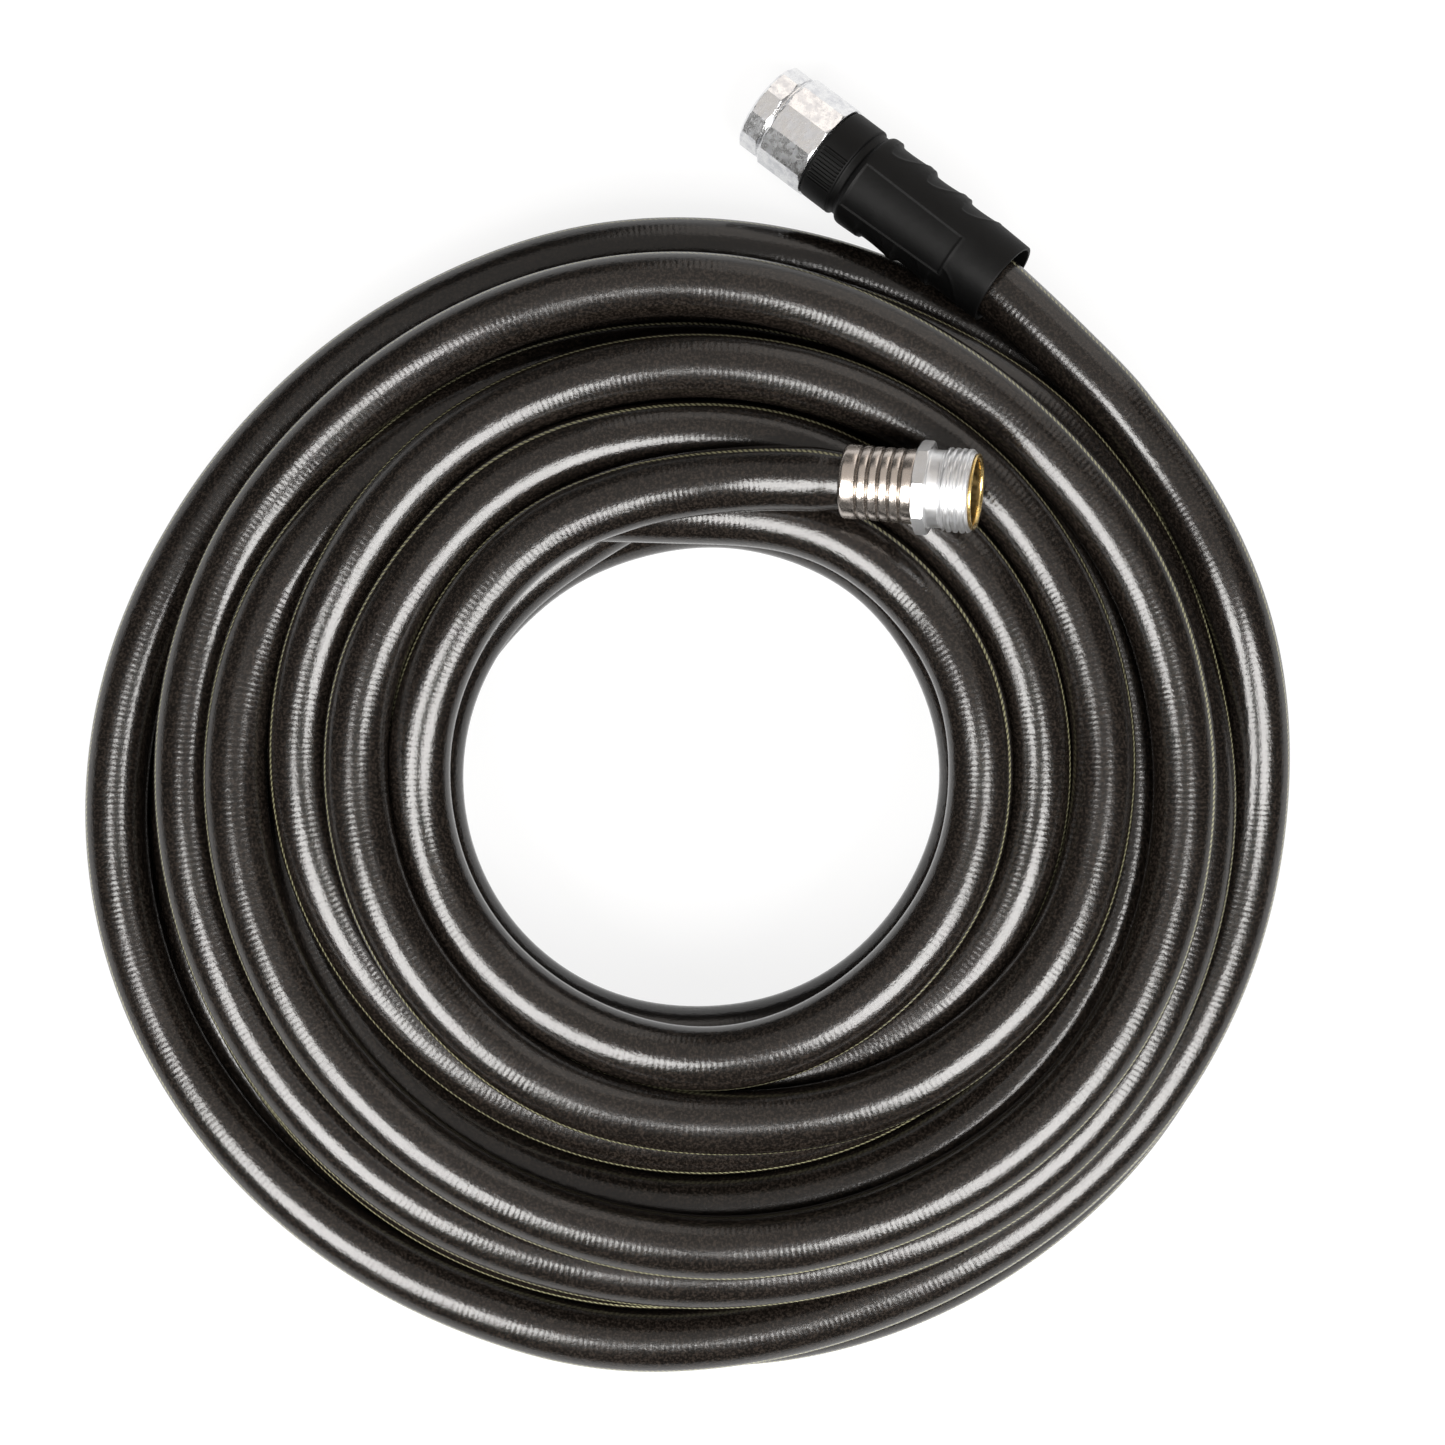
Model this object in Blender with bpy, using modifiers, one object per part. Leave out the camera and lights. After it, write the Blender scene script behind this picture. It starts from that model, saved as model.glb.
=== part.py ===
"""A coiled garden hose with a swivel coupling on its outer end and a threaded coupling on its inner end.

Metres, +Z up, resting on the floor at z = 0. The coil is one turned ring with its bore, whose outline
shows the turns. The two free ends of the hose are tubes that lie in pockets of that ring.
"""

import math

import bmesh
import bpy
from mathutils import Matrix, Vector

# Hose
HOSE_OD = 0.0210
FIT_GAP = 0.0003
FLOOR_PRESS = 0.0010

# Coil: centre lines of the turns
BOTTOM_TURN_INNER_RADIUS = 0.0900
BOTTOM_TURN_PITCH = 0.0191
BOTTOM_TURN_COUNT = 6
TOP_TURN_INNER_RADIUS = 0.0950
TOP_TURN_PITCH = 0.0184
TOP_TURN_COUNT = 5
SECOND_LAYER_RISE = 0.0190
THIRD_LAYER_RISE = 0.0190
TOP_LAYER_RISE = 0.0185
THIRD_TURN_INSET = 0.0095
LEAST_GROOVE_ANGLE = math.radians(24.0)

# Swivel end: where its sleeve's mouth is, and which way the nut points
MOUTH_OUTSET = 0.0106
MOUTH_BEARING = math.radians(58.4)
SWIVEL_HEADING = math.radians(141.4)
SWIVEL_DROOP = math.radians(11.0)
FLOOR_CLEARANCE = 0.0004

# Coupling nut, from its front face back
NUT_SIDES = 12
NUT_CORNER_RADIUS = 0.0176
NUT_NOSE_CORNER_RADIUS = 0.0165
NUT_NOSE_LENGTH = 0.0086
NUT_NOSE_CHAMFER = 0.0012
NUT_GROOVE_DEPTH = 0.0011
NUT_GROOVE_WIDTH = 0.0010
NUT_BODY_LENGTH = 0.0186
NUT_SPIGOT_RADIUS = 0.0142
NUT_SPIGOT_LENGTH = 0.0080
NUT_SOCKET_RADIUS = 0.0132
NUT_SOCKET_DEPTH = 0.0166

# Stem, washer and ferrule inside the swivel end
STEM_FLANGE_RADIUS = 0.0122
STEM_FLANGE_THICKNESS = 0.0030
STEM_TUBE_RADIUS = 0.0092
STEM_BORE_RADIUS = 0.0070
WASHER_THICKNESS = 0.0030
WASHER_BORE_RADIUS = 0.0080
NUT_BACK_CLEARANCE = 0.0010
FERRULE_WALL = 0.0012
FERRULE_LENGTH = 0.0240
FERRULE_RIB_COUNT = 4
FERRULE_RIB_DEPTH = 0.0006
FERRULE_BAND_LENGTH = 0.0038

# Grip sleeve
SLEEVE_LENGTH = 0.0745
SLEEVE_COLLAR_RADIUS = 0.0166
SLEEVE_COLLAR_LENGTH = 0.0113
SLEEVE_NECK_RADIUS = 0.0156
SLEEVE_NECK_LENGTH = 0.0030
SLEEVE_BODY_RADIUS = 0.0171
SLEEVE_MOUTH_ROOM = 0.0030
SLEEVE_MOUTH_WALL = 0.0013
SLEEVE_RUNNING_CLEARANCE = 0.0006
SCALLOP_COUNT = 3
SCALLOP_FIRST = 0.0225
SCALLOP_PITCH = 0.0154
SCALLOP_DEPTH = 0.0012
SCALLOP_CUTTER_RADIUS = 0.0080
COIL_CLEARANCE = 0.0006
POCKET_GAP = 0.0009
LEAD_GAP_AT_MOUTH = 0.0009

# Threaded end: where its ferrule begins, and which way it points
MALE_START_OUTSET = 0.0141
MALE_START_BEARING = 63.8
MALE_HEADING = math.radians(-5.6)
MALE_RISE = math.radians(13.0)
THREAD_RADIUS = 0.0135
THREAD_ROOT_RADIUS = 0.0123
THREAD_PITCH = 0.0022
THREAD_TURNS = 4
NECK_RADIUS = 0.0124
NECK_LENGTH = 0.0040
COLLAR_CORNER_RADIUS = 0.01515
COLLAR_THICKNESS = 0.0040
COLLAR_SIDES = 8
LINER_RIM_RADIUS = 0.0122
LINER_RIM_THICKNESS = 0.0007
LINER_MOUTH_BORE_RADIUS = 0.0106
LINER_WALL = 0.0009
LINER_THROAT_BORE_RADIUS = 0.0078
LINER_TAPER_START = 0.0110
LINER_TAPER_END = 0.0140

# Smoothness
COIL_STEPS = 48
TURN_ARC_STEP = math.radians(36.0)
TURNED_STEPS = 24
HOSE_POINT_SPACING = 0.014
HOSE_BEVEL_RESOLUTION = 4
POCKET_BEVEL_RESOLUTION = 8

HOSE_RADIUS = HOSE_OD / 2
BOTTOM_Z = HOSE_RADIUS - FLOOR_PRESS
SECOND_Z = BOTTOM_Z + SECOND_LAYER_RISE
THIRD_Z = SECOND_Z + THIRD_LAYER_RISE
TOP_Z = THIRD_Z + TOP_LAYER_RISE
OUTER_TURN_RADIUS = BOTTOM_TURN_INNER_RADIUS + BOTTOM_TURN_PITCH * (BOTTOM_TURN_COUNT - 1)
COIL_TOP = TOP_Z + HOSE_RADIUS
MOUTH_RADIUS = OUTER_TURN_RADIUS + MOUTH_OUTSET
MALE_START_RADIUS = TOP_TURN_INNER_RADIUS + MALE_START_OUTSET

NUT_LENGTH = NUT_NOSE_LENGTH + NUT_BODY_LENGTH + NUT_SPIGOT_LENGTH
SLEEVE_START = NUT_NOSE_LENGTH + NUT_BODY_LENGTH + FIT_GAP
SLEEVE_END = SLEEVE_START + SLEEVE_LENGTH
STEM_START = NUT_SOCKET_DEPTH - FIT_GAP - STEM_FLANGE_THICKNESS
HOSE_START = NUT_LENGTH + NUT_BACK_CLEARANCE + FIT_GAP
FERRULE_END = HOSE_START + FERRULE_LENGTH
FERRULE_BORE_RADIUS = HOSE_RADIUS + FIT_GAP
FERRULE_RADIUS = FERRULE_BORE_RADIUS + FERRULE_WALL
SLEEVE_MOUTH_BORE_RADIUS = HOSE_RADIUS + SLEEVE_MOUTH_ROOM
SLEEVE_MOUTH_RADIUS = SLEEVE_MOUTH_BORE_RADIUS + SLEEVE_MOUTH_WALL
LEAD_OFFSET_AT_MOUTH = SLEEVE_MOUTH_ROOM - LEAD_GAP_AT_MOUTH

NUT_DIRECTION = Vector((
    math.cos(SWIVEL_HEADING) * math.cos(SWIVEL_DROOP),
    math.sin(SWIVEL_HEADING) * math.cos(SWIVEL_DROOP),
    -math.sin(SWIVEL_DROOP),
))
NUT_FRONT_Z = NUT_NOSE_CORNER_RADIUS * math.cos(SWIVEL_DROOP) + FLOOR_CLEARANCE
MOUTH = Vector((
    MOUTH_RADIUS * math.cos(MOUTH_BEARING),
    MOUTH_RADIUS * math.sin(MOUTH_BEARING),
    NUT_FRONT_Z + SLEEVE_END * math.sin(SWIVEL_DROOP),
))
NUT_FRONT = MOUTH + NUT_DIRECTION * SLEEVE_END

MALE_DIRECTION = Vector((
    math.cos(MALE_HEADING) * math.cos(MALE_RISE),
    math.sin(MALE_HEADING) * math.cos(MALE_RISE),
    math.sin(MALE_RISE),
))
MALE_THREAD_LENGTH = THREAD_PITCH * THREAD_TURNS + THREAD_PITCH / 2
MALE_COLLAR_START = MALE_THREAD_LENGTH + NECK_LENGTH
MALE_BODY_END = MALE_COLLAR_START + COLLAR_THICKNESS
MALE_LENGTH = MALE_BODY_END + FIT_GAP + FERRULE_LENGTH
MALE_REAR = Vector((
    MALE_START_RADIUS * math.cos(math.radians(MALE_START_BEARING)),
    MALE_START_RADIUS * math.sin(math.radians(MALE_START_BEARING)),
    COIL_TOP + FIT_GAP + FERRULE_RADIUS * math.cos(MALE_RISE),
))
MALE_MOUTH = MALE_REAR + MALE_DIRECTION * MALE_LENGTH


def clear_scene():
    for thing in list(bpy.data.objects):
        bpy.data.objects.remove(thing, do_unlink=True)


def new_collection(name, hidden=False):
    collection = bpy.data.collections.new(name)
    collection.hide_render = hidden
    bpy.context.scene.collection.children.link(collection)
    return collection


def new_material(name, colour, metallic, roughness):
    material = bpy.data.materials.new(name)
    material.use_nodes = True
    shader = material.node_tree.nodes["Principled BSDF"]
    shader.inputs["Base Color"].default_value = (*colour, 1.0)
    shader.inputs["Metallic"].default_value = metallic
    shader.inputs["Roughness"].default_value = roughness
    return material


def polar(radius, degrees, height):
    angle = math.radians(degrees)
    return Vector((radius * math.cos(angle), radius * math.sin(angle), height))


def smooth_route(points, spacing):
    """Points every `spacing` along a Catmull-Rom curve through the route's own points."""
    ends = [points[0] * 2 - points[1], *points, points[-1] * 2 - points[-2]]
    fine = []
    for before, start, end, after in zip(ends, ends[1:], ends[2:], ends[3:]):
        for step in range(16):
            t = step / 16
            fine.append(0.5 * (
                2 * start
                + (end - before) * t
                + (2 * before - 5 * start + 4 * end - after) * t ** 2
                + (3 * start - before - 3 * end + after) * t ** 3
            ))
    fine.append(points[-1])
    lengths = [0.0]
    for first, second in zip(fine, fine[1:]):
        lengths.append(lengths[-1] + (second - first).length)
    count = max(2, round(lengths[-1] / spacing))
    route = []
    index = 0
    for step in range(count + 1):
        target = lengths[-1] * step / count
        while index < len(fine) - 2 and lengths[index + 1] < target:
            index += 1
        share = (target - lengths[index]) / (lengths[index + 1] - lengths[index])
        route.append(fine[index].lerp(fine[index + 1], min(share, 1.0)))
    return route


def tube(name, route, radius, bevel_resolution, collection, material=None):
    """A round tube along a polyline, as a curve with filled caps."""
    curve = bpy.data.curves.new(name, "CURVE")
    curve.dimensions = "3D"
    curve.bevel_depth = radius
    curve.bevel_resolution = bevel_resolution
    curve.use_fill_caps = True
    spline = curve.splines.new("POLY")
    spline.points.add(len(route) - 1)
    for point, place in zip(spline.points, route):
        point.co = (*place, 1.0)
    spline.use_smooth = True
    thing = bpy.data.objects.new(name, curve)
    if material:
        curve.materials.append(material)
    collection.objects.link(thing)
    return thing


def tube_as_mesh(name, route, radius, collection):
    """The same tube with welded caps, for use as a cutter."""
    guide = tube(name + "_guide", route, radius, POCKET_BEVEL_RESOLUTION, collection)
    bpy.context.view_layer.update()
    graph = bpy.context.evaluated_depsgraph_get()
    mesh = bpy.data.meshes.new_from_object(guide.evaluated_get(graph))
    mesh.name = name
    work = bmesh.new()
    work.from_mesh(mesh)
    bmesh.ops.remove_doubles(work, verts=work.verts, dist=1e-6)
    bmesh.ops.recalc_face_normals(work, faces=work.faces)
    work.to_mesh(mesh)
    work.free()
    thing = bpy.data.objects.new(name, mesh)
    thing.matrix_world = guide.matrix_world
    collection.objects.link(thing)
    bpy.data.objects.remove(guide, do_unlink=True)
    return thing


def turned(name, profile, steps, collection, material=None, twist=0.0):
    """A closed (radius, height) outline turned about Z. The outline runs down its outer side."""
    mesh = bpy.data.meshes.new(name)
    points = [
        (radius * math.cos(twist), radius * math.sin(twist), height) for radius, height in profile
    ]
    edges = [(i, (i + 1) % len(points)) for i in range(len(points))]
    mesh.from_pydata(points, edges, [])
    thing = bpy.data.objects.new(name, mesh)
    collection.objects.link(thing)
    if material:
        mesh.materials.append(material)
    screw = thing.modifiers.new("turn", "SCREW")
    screw.steps = steps
    screw.render_steps = steps
    screw.use_merge_vertices = True
    screw.merge_threshold = 0.00005
    screw.use_smooth_shade = False
    return thing


def as_cutter(thing):
    thing.hide_render = True
    thing.display_type = "WIRE"
    return thing


def subtract(target, cutter):
    cut = target.modifiers.new("cut_" + cutter.name, "BOOLEAN")
    cut.operation = "DIFFERENCE"
    cut.solver = "EXACT"
    cut.object = cutter


def unite(target, other):
    join = target.modifiers.new("join_" + other.name, "BOOLEAN")
    join.operation = "UNION"
    join.solver = "EXACT"
    join.object = other


def axis_frame(name, place, direction, parent, collection):
    """An empty whose local +Z is the fitting's axis, pointing out of its mouth, with local +X level."""
    level = Vector((direction.y, -direction.x, 0)).normalized()
    up = direction.cross(level)
    empty = bpy.data.objects.new(name, None)
    matrix = Matrix((level, up, direction)).transposed().to_4x4()
    matrix.translation = place
    collection.objects.link(empty)
    empty.parent = parent
    empty.matrix_local = matrix
    return empty


def put(thing, parent, location=(0, 0, 0)):
    thing.parent = parent
    thing.location = location
    return thing


def turn_centres():
    """Centres (radius, height) of the turns round the coil's section, clockwise from its inner top turn."""
    top = [(TOP_TURN_INNER_RADIUS + TOP_TURN_PITCH * i, TOP_Z) for i in range(TOP_TURN_COUNT)]
    outer = [
        (OUTER_TURN_RADIUS - THIRD_TURN_INSET, THIRD_Z),
        (OUTER_TURN_RADIUS, SECOND_Z),
        (OUTER_TURN_RADIUS, BOTTOM_Z),
    ]
    bottom = [
        (BOTTOM_TURN_INNER_RADIUS + BOTTOM_TURN_PITCH * i, BOTTOM_Z)
        for i in range(BOTTOM_TURN_COUNT - 2, 0, -1)
    ]
    inner = [(BOTTOM_TURN_INNER_RADIUS, height) for height in (BOTTOM_Z, SECOND_Z, THIRD_Z)]
    return top + outer + bottom + inner


def coil_outline():
    """Arcs round each turn, met at the grooves between them, pressed flat where they stand on the floor."""
    centres = turn_centres()
    outline = []
    for index, (radius, height) in enumerate(centres):
        before = centres[index - 1]
        after = centres[(index + 1) % len(centres)]
        arrive = math.atan2(height - before[1], radius - before[0])
        leave = math.atan2(after[1] - height, after[0] - radius)
        start = arrive + math.pi - groove_angle(math.dist(before, (radius, height)))
        end = leave + groove_angle(math.dist(after, (radius, height)))
        span = (start - end) % (2 * math.pi)
        steps = max(3, round(span / TURN_ARC_STEP))
        swings = [span * step / steps for step in range(steps + 1)]
        if height < HOSE_RADIUS:
            swings = with_floor_flat(swings, start, height)
        for swing in swings:
            point = (
                radius + HOSE_RADIUS * math.cos(start - swing),
                max(0.0, height + HOSE_RADIUS * math.sin(start - swing)),
            )
            if not outline or math.dist(outline[-1], point) > HOSE_RADIUS / 50:
                outline.append(point)
    if math.dist(outline[0], outline[-1]) < HOSE_RADIUS / 50:
        outline.pop()
    return outline


def with_floor_flat(swings, start, height):
    """The angles swung from the arc's start, with the two edges of its flat in place of those below the floor."""
    meeting = math.asin(height / HOSE_RADIUS)
    near_edge = (start + meeting) % (2 * math.pi)
    far_edge = (start + math.pi - meeting) % (2 * math.pi)
    kept = [swing for swing in swings if not near_edge < swing < far_edge]
    return sorted(kept + [near_edge, far_edge])


def groove_angle(distance):
    """How far past the line between two turns their arcs stop, so that a groove is left between them."""
    return math.acos(min(distance / HOSE_OD, math.cos(LEAST_GROOVE_ANGLE)))


def female_route():
    """From the ferrule through the sleeve's mouth and down on to the coil's outer turn."""
    start = NUT_FRONT - NUT_DIRECTION * HOSE_START
    ferrule_end = NUT_FRONT - NUT_DIRECTION * FERRULE_END
    inward = Vector((NUT_DIRECTION.y, -NUT_DIRECTION.x, 0)).normalized() * -1
    middle = (ferrule_end + MOUTH) / 2 + inward * LEAD_OFFSET_AT_MOUTH * 0.25
    mouth = MOUTH + inward * LEAD_OFFSET_AT_MOUTH
    climb = MOUTH.z
    return [
        start,
        (start + ferrule_end) / 2,
        ferrule_end,
        middle,
        mouth,
        polar(OUTER_TURN_RADIUS + HOSE_OD * 0.20, 50, climb + HOSE_OD * 0.18),
        polar(OUTER_TURN_RADIUS + HOSE_OD * 0.06, 41, climb + HOSE_OD * 0.24),
        polar(OUTER_TURN_RADIUS, 31, climb + HOSE_OD * 0.18),
        polar(OUTER_TURN_RADIUS, 21, (climb + SECOND_Z) / 2 + HOSE_OD * 0.07),
        polar(OUTER_TURN_RADIUS, 11, SECOND_Z + HOSE_OD * 0.05),
        polar(OUTER_TURN_RADIUS, 1, SECOND_Z),
        polar(OUTER_TURN_RADIUS, -8, SECOND_Z),
    ]


def male_route():
    """From the collar back through the ferrule and down into the coil's innermost top turn."""
    start = MALE_MOUTH - MALE_DIRECTION * (MALE_BODY_END + FIT_GAP)
    drop = MALE_REAR.z - TOP_Z
    return [
        start,
        (start + MALE_REAR) / 2,
        MALE_REAR,
        polar(TOP_TURN_INNER_RADIUS + HOSE_OD * 0.46, 80, TOP_Z + drop * 0.68),
        polar(TOP_TURN_INNER_RADIUS + HOSE_OD * 0.16, 96, TOP_Z + drop * 0.38),
        polar(TOP_TURN_INNER_RADIUS + HOSE_OD * 0.05, 112, TOP_Z + drop * 0.13),
        polar(TOP_TURN_INNER_RADIUS, 128, TOP_Z + drop * 0.02),
        polar(TOP_TURN_INNER_RADIUS, 142, TOP_Z),
        polar(TOP_TURN_INNER_RADIUS, 154, TOP_Z),
    ]


def longer(route, extra):
    """The same route with its last point moved on by `extra`."""
    last = route[-1] + (route[-1] - route[-2]).normalized() * extra
    return [*route[:-1], last]


def sleeve_outside(grow=0.0):
    """The sleeve's outer (radius, height) points from its front face back to its mouth."""
    body_start = SLEEVE_START + SLEEVE_COLLAR_LENGTH + SLEEVE_NECK_LENGTH
    return [
        (SLEEVE_COLLAR_RADIUS + grow, -SLEEVE_START + grow),
        (SLEEVE_COLLAR_RADIUS + grow, -(SLEEVE_START + SLEEVE_COLLAR_LENGTH)),
        (SLEEVE_NECK_RADIUS + grow, -(SLEEVE_START + SLEEVE_COLLAR_LENGTH + grow)),
        (SLEEVE_NECK_RADIUS + grow, -body_start + grow),
        (SLEEVE_BODY_RADIUS + grow, -body_start - 0.0010),
        (SLEEVE_MOUTH_RADIUS + grow, -SLEEVE_END - grow),
    ]


def make_grip_sleeve(collection, cutters, axis, material):
    spigot_bore = NUT_SPIGOT_RADIUS + FIT_GAP
    ferrule_bore = FERRULE_RADIUS + SLEEVE_RUNNING_CLEARANCE
    shoulder = NUT_LENGTH + FIT_GAP
    inside = [
        (SLEEVE_MOUTH_BORE_RADIUS, -SLEEVE_END),
        (SLEEVE_MOUTH_BORE_RADIUS, -(FERRULE_END + FERRULE_LENGTH / 2)),
        (ferrule_bore, -FERRULE_END),
        (ferrule_bore, -shoulder),
        (spigot_bore, -shoulder),
        (spigot_bore, -SLEEVE_START),
    ]
    sleeve = turned("grip_sleeve", sleeve_outside() + inside, TURNED_STEPS, collection, material)
    put(sleeve, axis)
    for side in (-1, 1):
        for row in range(SCALLOP_COUNT):
            back = SCALLOP_FIRST + SCALLOP_PITCH * row
            share = back / SLEEVE_LENGTH
            surface = SLEEVE_BODY_RADIUS + (SLEEVE_MOUTH_RADIUS - SLEEVE_BODY_RADIUS) * share
            bpy.ops.mesh.primitive_cylinder_add(
                vertices=16, radius=SCALLOP_CUTTER_RADIUS, depth=SLEEVE_COLLAR_RADIUS * 2
            )
            scallop = move_to(bpy.context.object, cutters)
            scallop.name = f"scallop_{'left' if side < 0 else 'right'}_{row + 1}"
            scallop.rotation_euler = (math.pi / 2, 0, 0)
            across = side * (surface - SCALLOP_DEPTH + SCALLOP_CUTTER_RADIUS)
            put(scallop, axis, (across, 0, -(SLEEVE_START + back)))
            subtract(sleeve, as_cutter(scallop))
    return sleeve


def move_to(thing, collection):
    for other in list(thing.users_collection):
        other.objects.unlink(thing)
    collection.objects.link(thing)
    return thing


def make_coupling_nut(collection, cutters, axis, material):
    """Twelve-sided body with a narrower chamfered nose, a groove between them and a round spigot."""
    half_side = math.pi / NUT_SIDES
    nose_end = NUT_NOSE_LENGTH - NUT_GROOVE_WIDTH
    body_end = NUT_NOSE_LENGTH + NUT_BODY_LENGTH
    core_radius = NUT_SOCKET_RADIUS - (NUT_CORNER_RADIUS - NUT_SOCKET_RADIUS) / 2
    outline = [
        (NUT_NOSE_CORNER_RADIUS - NUT_NOSE_CHAMFER, 0),
        (NUT_NOSE_CORNER_RADIUS, -NUT_NOSE_CHAMFER),
        (NUT_NOSE_CORNER_RADIUS, -nose_end),
        (NUT_NOSE_CORNER_RADIUS - NUT_GROOVE_DEPTH, -NUT_NOSE_LENGTH),
        (NUT_CORNER_RADIUS, -NUT_NOSE_LENGTH - NUT_GROOVE_WIDTH),
        (NUT_CORNER_RADIUS, -body_end),
        (core_radius, -body_end),
        (core_radius, 0),
    ]
    nut = put(turned("coupling_nut", outline, NUT_SIDES, collection, material, half_side), axis)
    spigot_overlap = NUT_BODY_LENGTH / 4
    spigot = turned("nut_spigot", [
        (NUT_SPIGOT_RADIUS, -body_end + spigot_overlap),
        (NUT_SPIGOT_RADIUS, -NUT_LENGTH),
        (STEM_TUBE_RADIUS / 2, -NUT_LENGTH),
        (STEM_TUBE_RADIUS / 2, -body_end + spigot_overlap),
    ], TURNED_STEPS, cutters)
    unite(nut, as_cutter(put(spigot, axis)))
    web = turned("nut_web", [
        (NUT_SPIGOT_RADIUS, -NUT_SOCKET_DEPTH + FIT_GAP),
        (NUT_SPIGOT_RADIUS, -body_end + FIT_GAP),
        (STEM_TUBE_RADIUS / 2, -body_end + FIT_GAP),
        (STEM_TUBE_RADIUS / 2, -NUT_SOCKET_DEPTH + FIT_GAP),
    ], TURNED_STEPS, cutters)
    unite(nut, as_cutter(put(web, axis)))
    margin = NUT_SOCKET_DEPTH / 4
    socket = lathe_cutter("nut_socket", [
        (0, margin),
        (NUT_SOCKET_RADIUS, margin),
        (NUT_SOCKET_RADIUS, -NUT_SOCKET_DEPTH),
        (STEM_TUBE_RADIUS + FIT_GAP, -NUT_SOCKET_DEPTH),
        (STEM_TUBE_RADIUS + FIT_GAP, -NUT_LENGTH - margin),
        (0, -NUT_LENGTH - margin),
    ], cutters)
    subtract(nut, put(socket, axis))
    return nut


def lathe_cutter(name, outline, cutters):
    """A solid turned cutter whose open outline starts and ends on the axis."""
    mesh = bpy.data.meshes.new(name)
    points = [(radius, 0, height) for radius, height in outline]
    mesh.from_pydata(points, [(i, i + 1) for i in range(len(points) - 1)], [])
    thing = bpy.data.objects.new(name, mesh)
    cutters.objects.link(thing)
    screw = thing.modifiers.new("turn", "SCREW")
    screw.steps = TURNED_STEPS
    screw.render_steps = TURNED_STEPS
    screw.use_merge_vertices = True
    screw.merge_threshold = 0.00005
    return as_cutter(thing)


def make_stem(collection, axis, material):
    flange_back = STEM_START + STEM_FLANGE_THICKNESS
    stem_end = HOSE_START - FIT_GAP
    outline = [
        (STEM_FLANGE_RADIUS, -STEM_START),
        (STEM_FLANGE_RADIUS, -flange_back),
        (STEM_TUBE_RADIUS, -flange_back),
        (STEM_TUBE_RADIUS, -stem_end),
        (STEM_BORE_RADIUS, -stem_end),
        (STEM_BORE_RADIUS, -STEM_START),
    ]
    return put(turned("coupling_stem", outline, TURNED_STEPS, collection, material), axis)


def make_washer(collection, axis, material):
    back = STEM_START - FIT_GAP
    outer = NUT_SOCKET_RADIUS - FIT_GAP
    outline = [
        (outer, -(back - WASHER_THICKNESS)),
        (outer, -back),
        (WASHER_BORE_RADIUS, -back),
        (WASHER_BORE_RADIUS, -(back - WASHER_THICKNESS)),
    ]
    return put(turned("coupling_washer", outline, TURNED_STEPS, collection, material), axis)


def make_ferrule(name, front, collection, axis, material):
    """A crimped tube: a plain band at each end and rounded ribs with grooves between them."""
    outside = [(FERRULE_RADIUS, -front), (FERRULE_RADIUS, -(front + FERRULE_BAND_LENGTH))]
    ribbed = FERRULE_LENGTH - 2 * FERRULE_BAND_LENGTH
    groove_count = FERRULE_RIB_COUNT + 1
    rib_pitch = ribbed / groove_count
    for groove in range(groove_count):
        begin = front + FERRULE_BAND_LENGTH + rib_pitch * groove
        outside.append((FERRULE_RADIUS - FERRULE_RIB_DEPTH, -(begin + rib_pitch * 0.2)))
        outside.append((FERRULE_RADIUS, -(begin + rib_pitch * 0.55)))
        if groove < groove_count - 1:
            outside.append((FERRULE_RADIUS, -(begin + rib_pitch * 0.85)))
    outside.append((FERRULE_RADIUS, -(front + FERRULE_LENGTH)))
    inside = [
        (FERRULE_BORE_RADIUS, -(front + FERRULE_LENGTH)),
        (FERRULE_BORE_RADIUS, -front),
    ]
    return put(turned(name, outside + inside, TURNED_STEPS, collection, material), axis)


def make_male_coupling(collection, cutters, axis, material):
    """Octagonal collar, plain neck and thread ridges in one piece, bored for the liner."""
    outline = [(THREAD_ROOT_RADIUS, 0)]
    for turn in range(THREAD_TURNS):
        crest = THREAD_PITCH * (turn + 0.6)
        outline.append((THREAD_RADIUS, -crest + THREAD_PITCH * 0.12))
        outline.append((THREAD_RADIUS, -crest - THREAD_PITCH * 0.12))
        outline.append((THREAD_ROOT_RADIUS, -crest - THREAD_PITCH * 0.5))
    inner = LINER_MOUTH_BORE_RADIUS + LINER_WALL + FIT_GAP
    throat = LINER_THROAT_BORE_RADIUS + LINER_WALL + FIT_GAP
    outline += [
        (NECK_RADIUS, -MALE_THREAD_LENGTH),
        (NECK_RADIUS, -MALE_BODY_END),
        (throat, -MALE_BODY_END),
        (throat, -LINER_TAPER_END),
        (inner, -LINER_TAPER_START),
        (inner, 0),
    ]
    body = put(turned("male_coupling", outline, TURNED_STEPS, collection, material), axis)
    collar = turned("male_collar", [
        (COLLAR_CORNER_RADIUS, -MALE_COLLAR_START),
        (COLLAR_CORNER_RADIUS, -MALE_BODY_END),
        ((throat + NECK_RADIUS) / 2, -MALE_BODY_END),
        ((throat + NECK_RADIUS) / 2, -MALE_COLLAR_START),
    ], COLLAR_SIDES, cutters, twist=math.pi / 2)
    unite(body, as_cutter(put(collar, axis)))
    return body


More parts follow.
